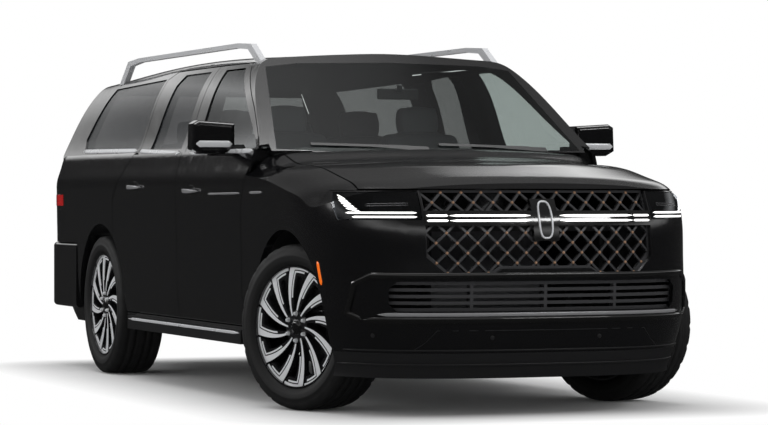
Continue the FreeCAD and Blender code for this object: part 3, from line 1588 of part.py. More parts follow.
def chassis_frame():
    features = frame_side(RIGHT) + frame_side(LEFT)
    deep, shallow = S.rail_depth - 10, S.low_member_depth
    members = (
        (ahead(S.rail_front_x) - S.cross_width, deep), (ahead(S.gearbox_member_x), shallow),
        (ahead(S.door_split_x), shallow), (behind(S.tank_member_x), shallow),
        (behind(S.spare_member_x), deep), (behind(S.rail_rear_x), deep),
    )
    for station, depth in members:
        features.append(box("CrossMember", station, station + S.cross_width, -S.rail_inner_y, S.rail_inner_y,
                            S.rail_low, S.rail_low + depth))
    half = S.receiver_outer / 2
    middle = S.receiver_height
    end = behind(S.rail_rear_x)
    features.append(box("Receiver", end - S.receiver_reach, end + 10, -half, half, middle - half, middle + half))
    fusion = doc.addObject("Part::MultiFuse", "FrameFusion")
    fusion.Shapes = features
    inner = S.receiver_inner / 2
    hole = box("ReceiverHole", end - S.receiver_reach - 10, end + S.cross_width + 60, -inner, inner, middle - inner, middle + inner)
    pin_x = end - S.receiver_reach + S.hitch_pin_back
    pin = rod("HitchPinHole", "y", pin_x, -half - 5, middle, S.hitch_pin_radius, S.receiver_outer + 10)
    holes = doc.addObject("Part::MultiFuse", "FrameHoles")
    holes.Shapes = [hole, pin]
    frame = doc.addObject("Part::Cut", "chassis_frame")
    frame.Label = "chassis_frame"
    frame.Base = fusion
    frame.Tool = holes
    nodes["chassis_frame"] = frame


# Running gear

def wheel_place(side, front):
    """Where a wheel's middle stands, with the front wheels turned about their kingpins."""
    if not front:
        return Placement(Vector(rear_axle_x, side * S.wheel_track / 2, S.tyre_radius), Rotation())
    kingpin = Placement(Vector(front_axle_x, side * S.kingpin_y, 0), Rotation(Vector(0, 0, 1), float(S.steer_at_rest)))
    return kingpin.multiply(Placement(Vector(0, side * (S.wheel_track / 2 - S.kingpin_y), S.tyre_radius), Rotation()))


def tyre(name, side, front):
    body = new_body(name)
    sketch = sketch_on(body, "XY_Plane", "Section")
    half = S.tyre_width / 2
    bead = S.rim_width / 2
    draw_outline(sketch, [
        (S.rim_radius, -bead),
        (S.rim_radius + S.tyre_shoulder, -half),
        (S.tyre_radius - S.tyre_shoulder, -half),
        (S.tyre_radius, -half + S.tyre_shoulder),
        (S.tyre_radius, half - S.tyre_shoulder),
        (S.tyre_radius - S.tyre_shoulder, half),
        (S.rim_radius + S.tyre_shoulder, half),
        (S.rim_radius, bead),
    ])
    revolution(body, sketch, "Carcass")
    body.Placement = wheel_place(side, front)


def blade_outline(hand):
    """One curved blade of the wheel, hooked along the rim at its tip, as points of (across, up)."""
    root, tip = float(S.spoke_root_radius), float(S.rim_radius) - S.rim_wall / 2
    start, end, hook = float(S.spoke_root_angle), float(S.spoke_tip_angle), float(S.spoke_hook_angle)
    inner = tip - S.spoke_hook_depth

    def at(radius, angle):
        turn = math.radians(angle)
        return hand * radius * math.sin(turn), radius * math.cos(turn)

    def lead(share):
        return start + (end - start) * share ** 0.75

    leading, trailing = [], []
    for step in range(BLADE_STEPS + 1):
        share = step / BLADE_STEPS
        leading.append(at(root + (tip - root) * share, lead(share)))
        radius = root + (inner - root) * share
        width = S.spoke_root_width + (S.spoke_tip_width - S.spoke_root_width) * share
        trailing.append(at(radius, lead((radius - root) / (tip - root)) + math.degrees(width / radius)))
    middle = (end + hook) / 2
    return leading + [at(tip, middle), at(tip, hook), at(inner, hook - 5), at(inner, middle + 2)] + trailing[::-1]


def rim(name, side, front):
    body = new_body(name)
    sketch = sketch_on(body, "XY_Plane", "Section")
    half = S.rim_width / 2
    wall = S.rim_wall
    face = S.wheel_offset * side
    outer = S.rim_radius - S.seat_clearance
    draw_outline(sketch, [
        (outer - wall, -half), (outer, -half), (outer, half), (outer - wall, half),
    ])
    revolution(body, sketch, "Barrel")
    near, far = S.wheel_offset, S.wheel_offset + S.spoke_back
    low, high = sides(side, near, far + S.spoke_depth)
    hub = sketch_on(body, "XY_Plane", "HubSection")
    draw_outline(hub, [(ZERO, low), (S.hub_radius, low), (S.hub_radius, high), (ZERO, high)])
    revolution(body, hub, "Hub")
    disc = sketch_on(body, "XY_Plane", "DiscSection")
    start, end = S.disc_inner_y * side, (S.disc_inner_y + S.disc_thickness) * side
    bore, hat, back = S.spindle_radius + S.disc_gap, S.hub_radius - 4, (S.wheel_offset + 2) * side
    draw_outline(disc, [(bore, start), (S.disc_radius, start), (S.disc_radius, end), (hat, end), (hat, back), (bore, back)])
    revolution(body, disc, "BrakeDisc")
    spoke = sketch_on(body, "XZ_Plane", "Spoke", (S.wheel_offset + S.spoke_back) * -side)
    draw_outline(spoke, blade_outline(-side))
    first = pad(body, spoke, "SpokePad", S.spoke_depth, back=side == LEFT)
    doc.recompute()
    pattern = body.newObject("PartDesign::PolarPattern", "Spokes")
    pattern.Originals = [first]
    pattern.Axis = (body_plane(body, "Y_Axis"), [""])
    pattern.Angle = 360
    pattern.Occurrences = int(S.spoke_count)
    body.Tip = pattern
    body.Placement = wheel_place(side, front)


def caliper(side, axle_x, middle, reach):
    """A brake caliper round the front edge of a disc, with the arm that carries it."""
    inner, outer = S.disc_inner_y - S.disc_gap, S.disc_inner_y + S.disc_thickness + S.disc_gap
    rim_x = axle_x + S.disc_radius + S.disc_gap
    low, high = S.tyre_radius - S.caliper_half_height, S.tyre_radius + S.caliper_half_height
    pieces = []
    for near, far, x0, x1 in (
        (inner - S.caliper_wall, inner, axle_x + reach, rim_x + S.caliper_wall),
        (inner - S.caliper_wall, outer + S.caliper_wall, rim_x, rim_x + S.caliper_wall),
        (outer, outer + S.caliper_wall, axle_x + S.disc_radius * 0.6, rim_x + S.caliper_wall),
    ):
        y0, y1 = (middle + near, middle + far) if side == LEFT else (-middle - far, -middle - near)
        pieces.append(box("Caliper", x0, x1, y0, y1, low, high))
    return pieces


def knuckle(name, side):
    """Upright, steering arm and hub carrier of a front wheel, drawn straight and then turned."""
    inner = (S.wheel_track / 2 - S.kingpin_y) * side
    y0, y1 = sides(side, S.upright_inner - S.kingpin_y, S.upright_inner - S.kingpin_y + S.upright_depth)
    pieces = [
        box("Upright", -S.upright_width / 2, S.upright_width / 2, y0, y1, S.tyre_radius - S.upright_reach, S.tyre_radius + S.upright_reach),
    ]
    start, end = sides(side, S.upright_inner - S.kingpin_y + S.upright_depth - 5,
                       S.wheel_track / 2 - S.kingpin_y + S.wheel_offset - S.seat_clearance)
    pieces.append(rod("Spindle", "y", ZERO, start, S.tyre_radius, S.spindle_radius, end - start))
    arm0, arm1 = sides(side, S.upright_inner - S.kingpin_y, S.upright_inner - S.kingpin_y + 30)
    pieces.append(box("SteeringArm", S.upright_width / 2 - 5, S.steer_arm_reach, arm0, arm1, S.tyre_radius - 35, S.tyre_radius - 15))
    pieces += caliper(side, ZERO, S.wheel_track / 2 - S.kingpin_y, S.upright_width / 2 - 8)
    body = joined(name, pieces)
    body.Placement = Placement(Vector(front_axle_x, side * S.kingpin_y, 0), Rotation(Vector(0, 0, 1), float(S.steer_at_rest)))


for side, word in ((LEFT, "left"), (RIGHT, "right")):
    for front, end_word in ((True, "front"), (False, "rear")):
        tyre("tyre_%s_%s" % (end_word, word), side, front)
        rim("wheel_%s_%s" % (end_word, word), side, front)
    knuckle("knuckle_" + word, side)
chassis_frame()


# Suspension

def front_suspension():
    """Arms, damper legs, mounting plates and the steering rack of the front axle."""
    features = []
    plate_in = S.rail_inner_y + S.rail_width + S.seat_clearance
    for side in (RIGHT, LEFT):
        ball_y = S.kingpin_y * side
        root_y = (plate_in + 10) * side
        bottom, top = S.tyre_radius - S.upright_reach, S.tyre_radius + S.upright_reach
        for name, height, ball in (("LowerArm", S.lower_arm_height, bottom - S.ball_drop), ("UpperArm", S.upper_arm_height, top + S.ball_drop)):
            for reach in (S.arm_spread, -S.arm_spread):
                features.append(strut(name, (ahead(reach), root_y, height), (front_axle_x, ball_y, ball), S.arm_radius))
        run = S.ball_drop - S.seat_clearance
        features.append(rod("LowerBall", "z", front_axle_x, ball_y, bottom - S.ball_drop, S.ball_radius, run))
        features.append(rod("UpperBall", "z", front_axle_x, ball_y, top + S.seat_clearance, S.ball_radius, run))
        low, high = sides(side, plate_in, plate_in + S.tower_thickness)
        features.append(box("Tower", ahead(-S.arm_spread - 40), ahead(S.arm_spread + 40), low, high, S.rail_low, S.tower_top))
        top = (ahead(-30), (plate_in + S.damper_radius + 4) * side, S.tower_top - 30)
        foot = (ahead(-30), (S.arm_ball_y - 90) * side, S.lower_arm_height - 20)
        features.append(strut("Damper", foot, top, S.damper_radius))
    rack = S.rack_half_length
    features.append(rod("Rack", "y", ahead(S.rack_x), -rack, S.rack_height, S.rack_radius, rack * 2))
    for side in (RIGHT, LEFT):
        low, high = sides(side, S.rail_inner_y + 5, S.rail_inner_y + S.rail_width - 5)
        features.append(box("RackFoot", ahead(S.rack_x) - 20, ahead(S.rack_x) + 20, low, high,
                            S.rail_low + S.rail_depth + S.seat_clearance, S.rack_height))
    joined("front_suspension", features)


def rear_suspension():
    """Final drive, half-shafts, arms, dampers and hub carriers of the rear axle."""
    features = [rod("FinalDrive", "x", rear_axle_x - 150, ZERO, S.tyre_radius, S.diff_radius, S.diff_radius * 2.4)]
    plate_in = S.rail_inner_y + S.rail_width + S.seat_clearance
    for side in (RIGHT, LEFT):
        hub_in, hub_out = S.rear_upright_inner, S.wheel_track / 2 + S.wheel_offset - S.seat_clearance
        y0, y1 = sides(side, S.diff_radius - 30, hub_out)
        features.append(rod("HalfShaft", "y", rear_axle_x, y0, S.tyre_radius, S.shaft_radius, y1 - y0))
        y0, y1 = sides(side, hub_in, hub_in + S.upright_depth)
        features.append(box("Carrier", rear_axle_x - S.upright_width / 2, rear_axle_x + S.upright_width / 2, y0, y1,
                            S.tyre_radius - S.upright_reach, S.tyre_radius + S.upright_reach * 0.6))
        y0, y1 = sides(side, hub_in + S.upright_depth - 5, hub_out)
        features.append(rod("Spindle", "y", rear_axle_x, y0, S.tyre_radius, S.spindle_radius, y1 - y0))
        y0, y1 = sides(side, hub_in + S.upright_depth - 10, hub_in + S.upright_depth + 40)
        features.append(box("CaliperArm", rear_axle_x + S.upright_width / 2 - 8, rear_axle_x + S.upright_width / 2 + 30, y0, y1,
                            S.tyre_radius - S.caliper_half_height, S.tyre_radius + S.caliper_half_height))
        features += caliper(side, rear_axle_x, S.wheel_track / 2, S.upright_width / 2 + 5)
        low, high = sides(side, plate_in, plate_in + S.tower_thickness)
        features.append(box("ArmPlate", rear_axle_x - S.arm_spread - 40, rear_axle_x + S.arm_spread + 40, low, high,
                            S.rail_low, S.rail_low + S.rail_depth))
        foot_height = S.tyre_radius - S.upright_reach + 40
        for reach in (S.arm_spread, -S.arm_spread):
            root = (rear_axle_x + reach, (plate_in + 8) * side, S.rail_low + 40)
            features.append(strut("LowerArm", root, (rear_axle_x, (hub_in + 20) * side, foot_height), S.arm_radius))
        top = (rear_axle_x - 60, S.rear_damper_y * side, S.rear_floor - S.floor_thickness - 20)
        features.append(strut("Damper", (rear_axle_x - 60, (hub_in - 60) * side, foot_height), top, S.damper_radius))
        features.append(rod("DamperTop", "z", rear_axle_x - 60, S.rear_damper_y * side, S.rear_floor - S.floor_thickness - 60,
                            S.damper_radius + 4, ZERO + 60 - S.seat_clearance))
    for reach in (S.diff_radius + 20, -S.diff_radius - 60):
        features.append(box("Subframe", rear_axle_x + reach, rear_axle_x + reach + 40,
                            -S.rail_inner_y + S.seat_clearance, S.rail_inner_y - S.seat_clearance, S.rail_low, S.rail_low + 45))
    features.append(box("DriveCradle", rear_axle_x - S.diff_radius - 40, rear_axle_x + S.diff_radius + 40, ZERO - 40, ZERO + 40,
                        S.rail_low, S.rail_low + 45))
    features.append(box("DriveMount", rear_axle_x - S.diff_radius + 10, rear_axle_x + S.diff_radius - 10, ZERO - 40, ZERO + 40,
                        S.rail_low + 40, S.tyre_radius - 40))
    joined("rear_suspension", features)


# Closed-in heavy pieces and what hangs below the floor

def engine():
    joined("engine_and_gearbox", [
        box("Block", ahead(S.engine_rear_x), ahead(S.engine_front_x), -S.engine_half_width, S.engine_half_width, S.engine_low, S.engine_high),
        box("Sump", ahead(S.engine_rear_x) + 60, ahead(S.engine_front_x) - 120, -S.engine_half_width / 2, S.engine_half_width / 2,
            S.rail_low - 10, S.engine_low + 10),
        box("Gearbox", ahead(S.gearbox_rear_x), ahead(S.engine_rear_x) + 70, -S.gearbox_half_width, S.gearbox_half_width,
            S.rail_low + S.low_member_depth + S.seat_clearance, S.cabin_floor - S.floor_thickness - 12),
        box("Mounts", ahead(S.engine_rear_x) + 300, ahead(S.engine_rear_x) + 400, -S.rail_inner_y - 50, S.rail_inner_y + 50,
            S.rail_low + S.rail_depth + S.seat_clearance, S.engine_low + 40),
    ])


def driveline():
    start = rear_axle_x + S.diff_radius * 2.4 - 150 + S.seat_clearance
    features = [
        rod("PropShaft", "x", start, ZERO, S.prop_height, S.prop_radius, ahead(S.gearbox_rear_x) - start - S.seat_clearance),
    ]
    joined("driveline_and_exhaust", features + [
        rod("DownPipe", "x", behind(S.muffler_rear_x) + S.muffler_length - 10, -S.exhaust_y, S.exhaust_height, S.exhaust_radius,
            ahead(S.gearbox_rear_x) + 220 - behind(S.muffler_rear_x) - S.muffler_length),
        box("Muffler", behind(S.muffler_rear_x), behind(S.muffler_rear_x) + S.muffler_length, -S.exhaust_y - 90, -S.exhaust_y + 80,
            S.exhaust_height - 50, S.exhaust_height + 50),
        box("Hanger", behind(S.muffler_rear_x) + 280, behind(S.muffler_rear_x) + 320, -S.exhaust_y - 20, -S.exhaust_y + 20,
            S.exhaust_height + 45, S.cabin_floor - S.floor_thickness - S.seat_clearance),
        box("FuelTank", behind(S.tank_rear_x), behind(S.tank_rear_x) + S.tank_length, S.rail_inner_y + S.rail_width + 20, S.sill_inner - 10,
            S.rail_low + 10, S.cabin_floor - S.floor_thickness - S.seat_clearance),
    ])


def spare_wheel():
    body = new_body("spare_wheel")
    sketch = sketch_on(body, "XZ_Plane", "Section")
    draw_outline(sketch, [
        (ZERO, S.spare_width * 0.4), (S.spare_radius * 0.55, S.spare_width * 0.4), (S.spare_radius * 0.6, ZERO),
        (S.spare_radius - 20, ZERO), (S.spare_radius, ZERO + 20), (S.spare_radius, S.spare_width - 20),
        (S.spare_radius - 20, S.spare_width), (S.spare_radius * 0.6, S.spare_width), (S.spare_hanger_radius, S.spare_width * 0.6),
        (S.spare_hanger_radius, S.rear_floor - S.floor_thickness - S.seat_clearance - S.spare_low),
        (ZERO, S.rear_floor - S.floor_thickness - S.seat_clearance - S.spare_low),
    ])
    revolution(body, sketch, "Carcass")
    body.Placement = Placement(Vector(behind(S.spare_x), 0, S.spare_low), Rotation())


# Seats and inner fittings

def seat_profile(front, floor, height):
    """Side outline of a seat, from the front of its cushion, for a height of its back."""
    back = front - S.seat_cushion_run
    top = floor + height
    return [
        (front, floor + S.seat_base_height),
        (front + 10, floor + S.seat_cushion_height),
        (back + 30, floor + S.seat_cushion_height - 30),
        (back - S.seat_recline, top),
        (back - S.seat_recline - 95, top),
        (back - 125, floor + S.seat_base_height),
    ]


def head_profile(front, floor, height):
    """Side outline of a headrest above a seat's back."""
    back = front - S.seat_cushion_run - S.seat_recline
    top = floor + height
    return [
        (back - 5, top - 5), (back - 12, top + S.headrest_height), (back - 80, top + S.headrest_height), (back - 88, top - 5),
    ]


def seat_row(name, front, floor, places, width, height):
    """A row of seats: a back and cushion and a headrest for each place across the cabin."""
    body = new_body(name)
    for index, middle in enumerate(places):
        shift = middle * -1.0
        outline = sketch_on(body, "XZ_Plane", "Side%d" % index, shift)
        draw_outline(outline, seat_profile(front, floor, height))
        pad(body, outline, "Seat%d" % index, width, middle=True)
        pedestal = sketch_on(body, "XZ_Plane", "Foot%d" % index, shift)
        draw_outline(pedestal, [
            (front - 40, floor + S.seat_clearance), (front - 30, floor + S.seat_base_height + 10),
            (front - S.seat_cushion_run - 60, floor + S.seat_base_height + 10), (front - S.seat_cushion_run - 60, floor + S.seat_clearance),
        ])
        pad(body, pedestal, "Pedestal%d" % index, width - 120, middle=True)
        head = sketch_on(body, "XZ_Plane", "Head%d" % index, shift)
        draw_outline(head, head_profile(front, floor, height))
        pad(body, head, "Headrest%d" % index, S.headrest_width, middle=True)
    return body


def dashboard():
    body = doc.addObject("PartDesign::Body", "DashBody")
    outline = sketch_on(body, "XZ_Plane", "Side")
    front = ahead(S.firewall_x) - S.seat_clearance
    draw_outline(outline, [
        (front, S.dash_low), (front, S.dash_high), (ahead(S.dash_rear_x) + 60, S.dash_high - 10),
        (ahead(S.dash_rear_x), S.dash_high - 70), (ahead(S.dash_rear_x) + 60, S.dash_low),
    ])
    pad(body, outline, "Dash", (S.cabin_half_width - 14) * 2, middle=True)
    console = sketch_on(body, "XZ_Plane", "ConsoleSide")
    draw_outline(console, [
        (front - 60, S.cabin_floor + S.seat_clearance), (front - 60, S.dash_low + 20), (ahead(S.dash_rear_x) + 40, S.dash_low + 20),
        (ahead(S.console_rear_x), S.console_height), (ahead(S.console_rear_x), S.cabin_floor + S.seat_clearance),
    ])
    pad(body, console, "Console", S.console_width, middle=True)
    shroud = doc.addObject("Part::Cylinder", "ColumnShroud")
    bind(shroud, "Radius", S.column_radius + 18)
    bind(shroud, "Height", S.shroud_length)
    place = steering_place()
    shroud.Placement = place.multiply(Placement(Vector(0, 0, -S.column_length - S.seat_clearance - S.shroud_length), Rotation()))
    joined("dashboard_and_console", [body, shroud])


def steering_place():
    """Where the steering wheel's hub stands, with its axis along the raked column."""
    tilt = Rotation(Vector(0, 1, 0), -(90 - float(S.column_tilt)))
    return Placement(Vector(ahead(S.steering_x), S.driver_y, S.steering_height), tilt)


def steering_wheel():
    """The steering wheel with its column, which turns about the column's axis."""
    body = new_body("steering_wheel")
    section = sketch_on(body, "XZ_Plane", "RimSection")
    draw_circle(section, S.steering_radius, ZERO, S.steering_grip)
    feature = revolution(body, section, "Rim")
    hub = sketch_on(body, "XZ_Plane", "HubSection")
    draw_outline(hub, [(ZERO, -S.column_length), (S.column_radius, -S.column_length), (S.column_radius, ZERO - 40),
                       (S.steering_hub, ZERO - 40), (S.steering_hub, ZERO - 5), (ZERO, ZERO - 5)])
    revolution(body, hub, "Hub")
    spokes = sketch_on(body, "XY_Plane", "Spokes", ZERO - 26)
    draw_outline(spokes, [(-S.steering_radius, -S.steering_grip), (S.steering_radius, -S.steering_grip),
                          (S.steering_radius, S.steering_grip), (-S.steering_radius, S.steering_grip)])
    pad(body, spokes, "SpokePad", S.steering_grip * 2)
    body.Placement = steering_place()


front_suspension()
rear_suspension()
engine()
driveline()
spare_wheel()
seat_row("front_seats", ahead(S.front_seat_x), S.cabin_floor, (S.driver_y, -S.driver_y), S.seat_width, S.seat_back_height)
seat_row("second_row_seats", ahead(S.second_seat_x), S.cabin_floor, (S.driver_y, -S.driver_y), S.seat_width, S.seat_back_height)
seat_row("third_row_seat", behind(S.third_seat_x), S.rear_floor, (S.third_place_y, -S.third_place_y), S.third_seat_width, S.third_back_height)
dashboard()
steering_wheel()


# Outer trim

def roof_rails():
    """Two roof rails on their feet."""
    body = doc.addObject("PartDesign::Body", "RailBars")
    top = S.rail_top_height
    low = S.rail_foot_height
    front, rear = ahead(S.rail_front_foot_x), behind(S.rail_rear_foot_x)
    for index, side in enumerate((RIGHT, LEFT)):
        outline = sketch_on(body, "XZ_Plane", "Rail%d" % index, S.roof_rail_y * -side)
        draw_outline(outline, [
            (front, low), (front - 190, top - S.roof_rail_height * 0.5), (front - 420, top),
            (rear + 420, top), (rear + 190, top - S.roof_rail_height * 0.5), (rear, low - 26),
            (rear + 90, low - 26), (rear + 240, top - S.roof_rail_height * 1.6), (rear + 440, top - S.roof_rail_height),
            (front - 440, top - S.roof_rail_height), (front - 240, top - S.roof_rail_height * 1.6), (front - 90, low),
        ])
        pad(body, outline, "Pad%d" % index, S.roof_rail_width, middle=True)
    roof = doc.addObject("Part::Feature", "RoofBelowRails")
    roof.Shape = upper_volume(-float(S.seat_clearance))
    roof.Placement = Placement()
    seated = doc.addObject("Part::Cut", "roof_rails")
    seated.Label = "roof_rails"
    seated.Base = body
    seated.Tool = roof
    nodes["roof_rails"] = seated


def running_boards():
    """The stowed running boards under the sills."""
    body = new_body("running_boards")
    for index, side in enumerate((RIGHT, LEFT)):
        middle = (S.board_half_width + S.board_inner) / 2
        outline = sketch_on(body, "XZ_Plane", "Board%d" % index, middle * -side)
        front, rear = ahead(S.board_front_x), ahead(S.board_rear_x)
        draw_outline(outline, [
            (front, S.board_low), (front, S.board_top - S.seat_clearance),
            (rear, S.board_top - S.seat_clearance), (rear, S.board_low),
        ])
        pad(body, outline, "Pad%d" % index, S.board_half_width - S.board_inner, middle=True)
    return body


roof_rails()
running_boards()
doc.recompute()

# Writing the sub-parts
for feature in doc.Objects:
    if "Invalid" in feature.State or "Error" in feature.State:
        raise RuntimeError("%s failed: %s" % (feature.Label, feature.State))
for label, feature in nodes.items():
    shape = feature.Shape
    if shape.isNull() or not shape.isValid() or not shape.Solids:
        raise RuntimeError("%s has no valid solid" % label)

os.makedirs("parts", exist_ok=True)
for label, feature in nodes.items():
    feature.Shape.exportStep(os.path.join("parts", label + ".step"))
print("%d sub-parts written" % len(nodes))
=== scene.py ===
"""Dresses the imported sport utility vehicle: finishes, trim, lamps, seats, tyres and studio."""

import json
import logging
import math
from dataclasses import dataclass, field
from enum import Enum
from typing import Callable, Iterable, Optional, Sequence, Union

import bmesh
import bpy
from mathutils import Matrix, Vector
from mathutils.bvhtree import BVHTree


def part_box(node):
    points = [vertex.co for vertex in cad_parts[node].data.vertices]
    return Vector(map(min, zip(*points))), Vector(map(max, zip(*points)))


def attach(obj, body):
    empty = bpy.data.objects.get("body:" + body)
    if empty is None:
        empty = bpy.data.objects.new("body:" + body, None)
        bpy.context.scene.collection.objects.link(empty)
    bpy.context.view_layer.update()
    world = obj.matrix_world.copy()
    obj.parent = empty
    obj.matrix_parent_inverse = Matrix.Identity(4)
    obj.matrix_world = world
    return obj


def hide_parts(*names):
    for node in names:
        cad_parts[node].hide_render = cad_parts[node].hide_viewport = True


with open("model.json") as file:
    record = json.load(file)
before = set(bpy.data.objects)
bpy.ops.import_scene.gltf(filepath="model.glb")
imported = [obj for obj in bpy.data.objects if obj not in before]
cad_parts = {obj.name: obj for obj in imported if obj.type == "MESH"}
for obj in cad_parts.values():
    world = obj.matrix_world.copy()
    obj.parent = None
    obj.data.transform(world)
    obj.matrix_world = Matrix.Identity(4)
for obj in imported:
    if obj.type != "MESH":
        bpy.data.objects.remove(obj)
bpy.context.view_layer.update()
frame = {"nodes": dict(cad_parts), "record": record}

log = logging.getLogger("scene")
Colour = tuple[float, float, float]
Point = tuple[float, float, float]
Flat = tuple[float, float]
Trail = list[tuple[Vector, Vector]]
Strip = tuple[Trail, Flat]
Inputs = dict[Union[int, str], object]
Row = list[bmesh.types.BMVert]

WHITE = (1.0, 1.0, 1.0, 1.0)


class Side(Enum):
    """The two sides of the vehicle."""

    LEFT = 1
    RIGHT = -1

    @property
    def word(self) -> str:
        """The side's name as used in body and node names."""
        return self.name.lower()


class Shade:
    """A node's output that can be used in sums."""

    def __init__(self, graph: "Graph", socket: bpy.types.NodeSocket) -> None:
        self.graph = graph
        self.socket = socket

    def _maths(self, operation: str, first: object, second: object = 0.0) -> "Shade":
        """The output of one Math node."""
        return self.graph.add("ShaderNodeMath", {0: first, 1: second}, operation=operation)

    def __add__(self, other: object) -> "Shade":
        """The sum."""
        return self._maths("ADD", self, other)

    def __sub__(self, other: object) -> "Shade":
        """The difference."""
        return self._maths("SUBTRACT", self, other)

    def __rsub__(self, other: object) -> "Shade":
        """The difference, with the shade on the right."""
        return self._maths("SUBTRACT", other, self)

    def __mul__(self, other: object) -> "Shade":
        """The product."""
        return self._maths("MULTIPLY", self, other)

    def __truediv__(self, other: object) -> "Shade":
        """The quotient."""
        return self._maths("DIVIDE", self, other)

    def wave(self) -> "Shade":
        """The sine."""
        return self._maths("SINE", self)

    def size(self) -> "Shade":
        """The absolute value."""
        return self._maths("ABSOLUTE", self)

    def limit(self) -> "Shade":
        """The value kept between zero and one."""
        return self.graph.add("ShaderNodeClamp", {"Value": self})


class Graph:
    """The node tree of one material or of the world."""

    def __init__(self, tree: bpy.types.NodeTree) -> None:
        self.tree = tree
        self.tree.nodes.clear()

    def node(self, kind: str, inputs: Inputs, **settings: object) -> bpy.types.Node:
        """A node with its settings, values and links.

        Args:
            kind: the node's type name.
            inputs: values or shades by socket name or number.
            settings: the node's properties, set first.

        Returns:
            The new node.
        """
        made = self.tree.nodes.new(kind)
        for name, value in settings.items():
            setattr(made, name, value)
        for key, value in inputs.items():
            if isinstance(value, Shade):
                self.tree.links.new(value.socket, made.inputs[key])
            else:
                made.inputs[key].default_value = value
        return made

    def add(
        self, kind: str, inputs: Inputs, output: Union[int, str] = 0, **settings: object
    ) -> Shade:
        """One output of a new node, by name or number, as a shade."""
        return Shade(self, self.node(kind, inputs, **settings).outputs[output])

    def place(self) -> Shade:
        """The shaded point in the object's own coordinates."""
        return self.add("ShaderNodeTexCoord", {}, "Object")

    def part(self, vector: Shade, name: str) -> Shade:
        """One coordinate of a vector: X, Y or Z."""
        return self.add("ShaderNodeSeparateXYZ", {0: vector}, name)

    def ray(self, name: str) -> Shade:
        """One where the ray is of the named kind, else zero."""
        return self.add("ShaderNodeLightPath", {}, name)

    def noise(self, scale: float, detail: float, stretch: Point = (1.0, 1.0, 1.0)) -> Shade:
        """Soft noise around one half, with so many features a metre and finer layers."""
        moved = self.add("ShaderNodeMapping", {"Vector": self.place(), "Scale": stretch})
        return self.add("ShaderNodeTexNoise", {"Vector": moved, "Scale": scale, "Detail": detail})

    def cells(self, scale: float) -> Shade:
        """Distance to the nearest of many scattered points, as leather grain has."""
        return self.add("ShaderNodeTexVoronoi", {"Vector": self.place(), "Scale": scale})

    def bump(self, height: Shade, strength: float, distance: float) -> Shade:
        """A normal tilted by a height, whose real size in metres is the distance."""
        inputs = {"Height": height, "Strength": strength, "Distance": distance}
        return self.add("ShaderNodeBump", inputs)

    def mix(self, share: Shade, first: Shade, second: Shade) -> Shade:
        """Two shaders mixed, with the share of the second."""
        return self.add("ShaderNodeMixShader", {0: share, 1: first, 2: second})

    def surface(self, shader: Shade) -> None:
        """Puts a shader on the surface."""
        self.node("ShaderNodeOutputMaterial", {"Surface": shader})


@dataclass(frozen=True)
class Finish:
    """A procedural surface: the record's slot, base colour, gloss and a fine bump."""

    name: str
    slot: str
    colour: Colour
    roughness: float = 0.5
    metallic: float = 0.0
    coat: float = 0.0
    coat_roughness: float = 0.03
    grain_scale: float = 400.0
    grain_detail: float = 3.0
    grain_stretch: Point = (1.0, 1.0, 1.0)
    grain_depth: float = 0.0001
    grain_strength: float = 0.2
    patch: float = 0.06
    patch_scale: float = 6.0
    patch_detail: float = 4.0
    emission: float = 0.0

    def height(self, graph: Graph) -> Shade:
        """The fine relief of the surface."""
        return graph.noise(self.grain_scale, self.grain_detail, self.grain_stretch)

    def build(self, graph: Graph) -> None:
        """Fills the node tree."""
        patches = graph.noise(self.patch_scale, self.patch_detail)
        inputs: Inputs = {
            "Base Color": (*self.colour, 1.0),
            "Metallic": self.metallic,
            "Roughness": (patches - 0.5) * self.patch + self.roughness,
            "Coat Weight": self.coat,
            "Coat Roughness": self.coat_roughness,
            "Normal": graph.bump(self.height(graph), self.grain_strength, self.grain_depth),
        }
        if self.emission:
            inputs["Emission Color"] = (*self.colour, 1.0)
            inputs["Emission Strength"] = self.emission
        graph.surface(graph.add("ShaderNodeBsdfPrincipled", inputs))

    def make(self) -> bpy.types.Material:
        """The Blender material, made once."""
        known = bpy.data.materials.get(self.name)
        if known:
            return known
        material = bpy.data.materials.new(self.name)
        material.use_nodes = True
        self.build(Graph(material.node_tree))
        return material


@dataclass(frozen=True)
class Paint(Finish):
    """Clear-coated body paint with faint orange peel."""

    roughness: float = 0.16
    coat: float = 1.0
    grain_scale: float = 260.0
    grain_depth: float = 0.0002
    grain_strength: float = 0.04
    patch: float = 0.05


@dataclass(frozen=True)
class Brushed(Finish):
    """Metal with long thin scratches along X."""

    metallic: float = 1.0
    grain_detail: float = 2.0
    grain_stretch: Point = (0.04, 1.0, 1.0)
    grain_strength: float = 0.12


@dataclass(frozen=True)
class Grained(Finish):
    """Moulded plastic or leather with a pebbled grain."""

    grain_scale: float = 650.0
    grain_depth: float = 0.0004
    grain_strength: float = 0.35

    def height(self, graph: Graph) -> Shade:
        """Small rounded cells."""
        return graph.cells(self.grain_scale)


@dataclass(frozen=True)
class Ribbed(Finish):
    """Surface with fine straight ribs that repeat along Y, as on lamp reflectors."""

    pitch: float = 0.006

    def height(self, graph: Graph) -> Shade:
        """A sine wave over the ribs."""
        return (graph.part(graph.place(), "Y") * (2 * math.pi / self.pitch)).wave() * 0.5 + 0.5


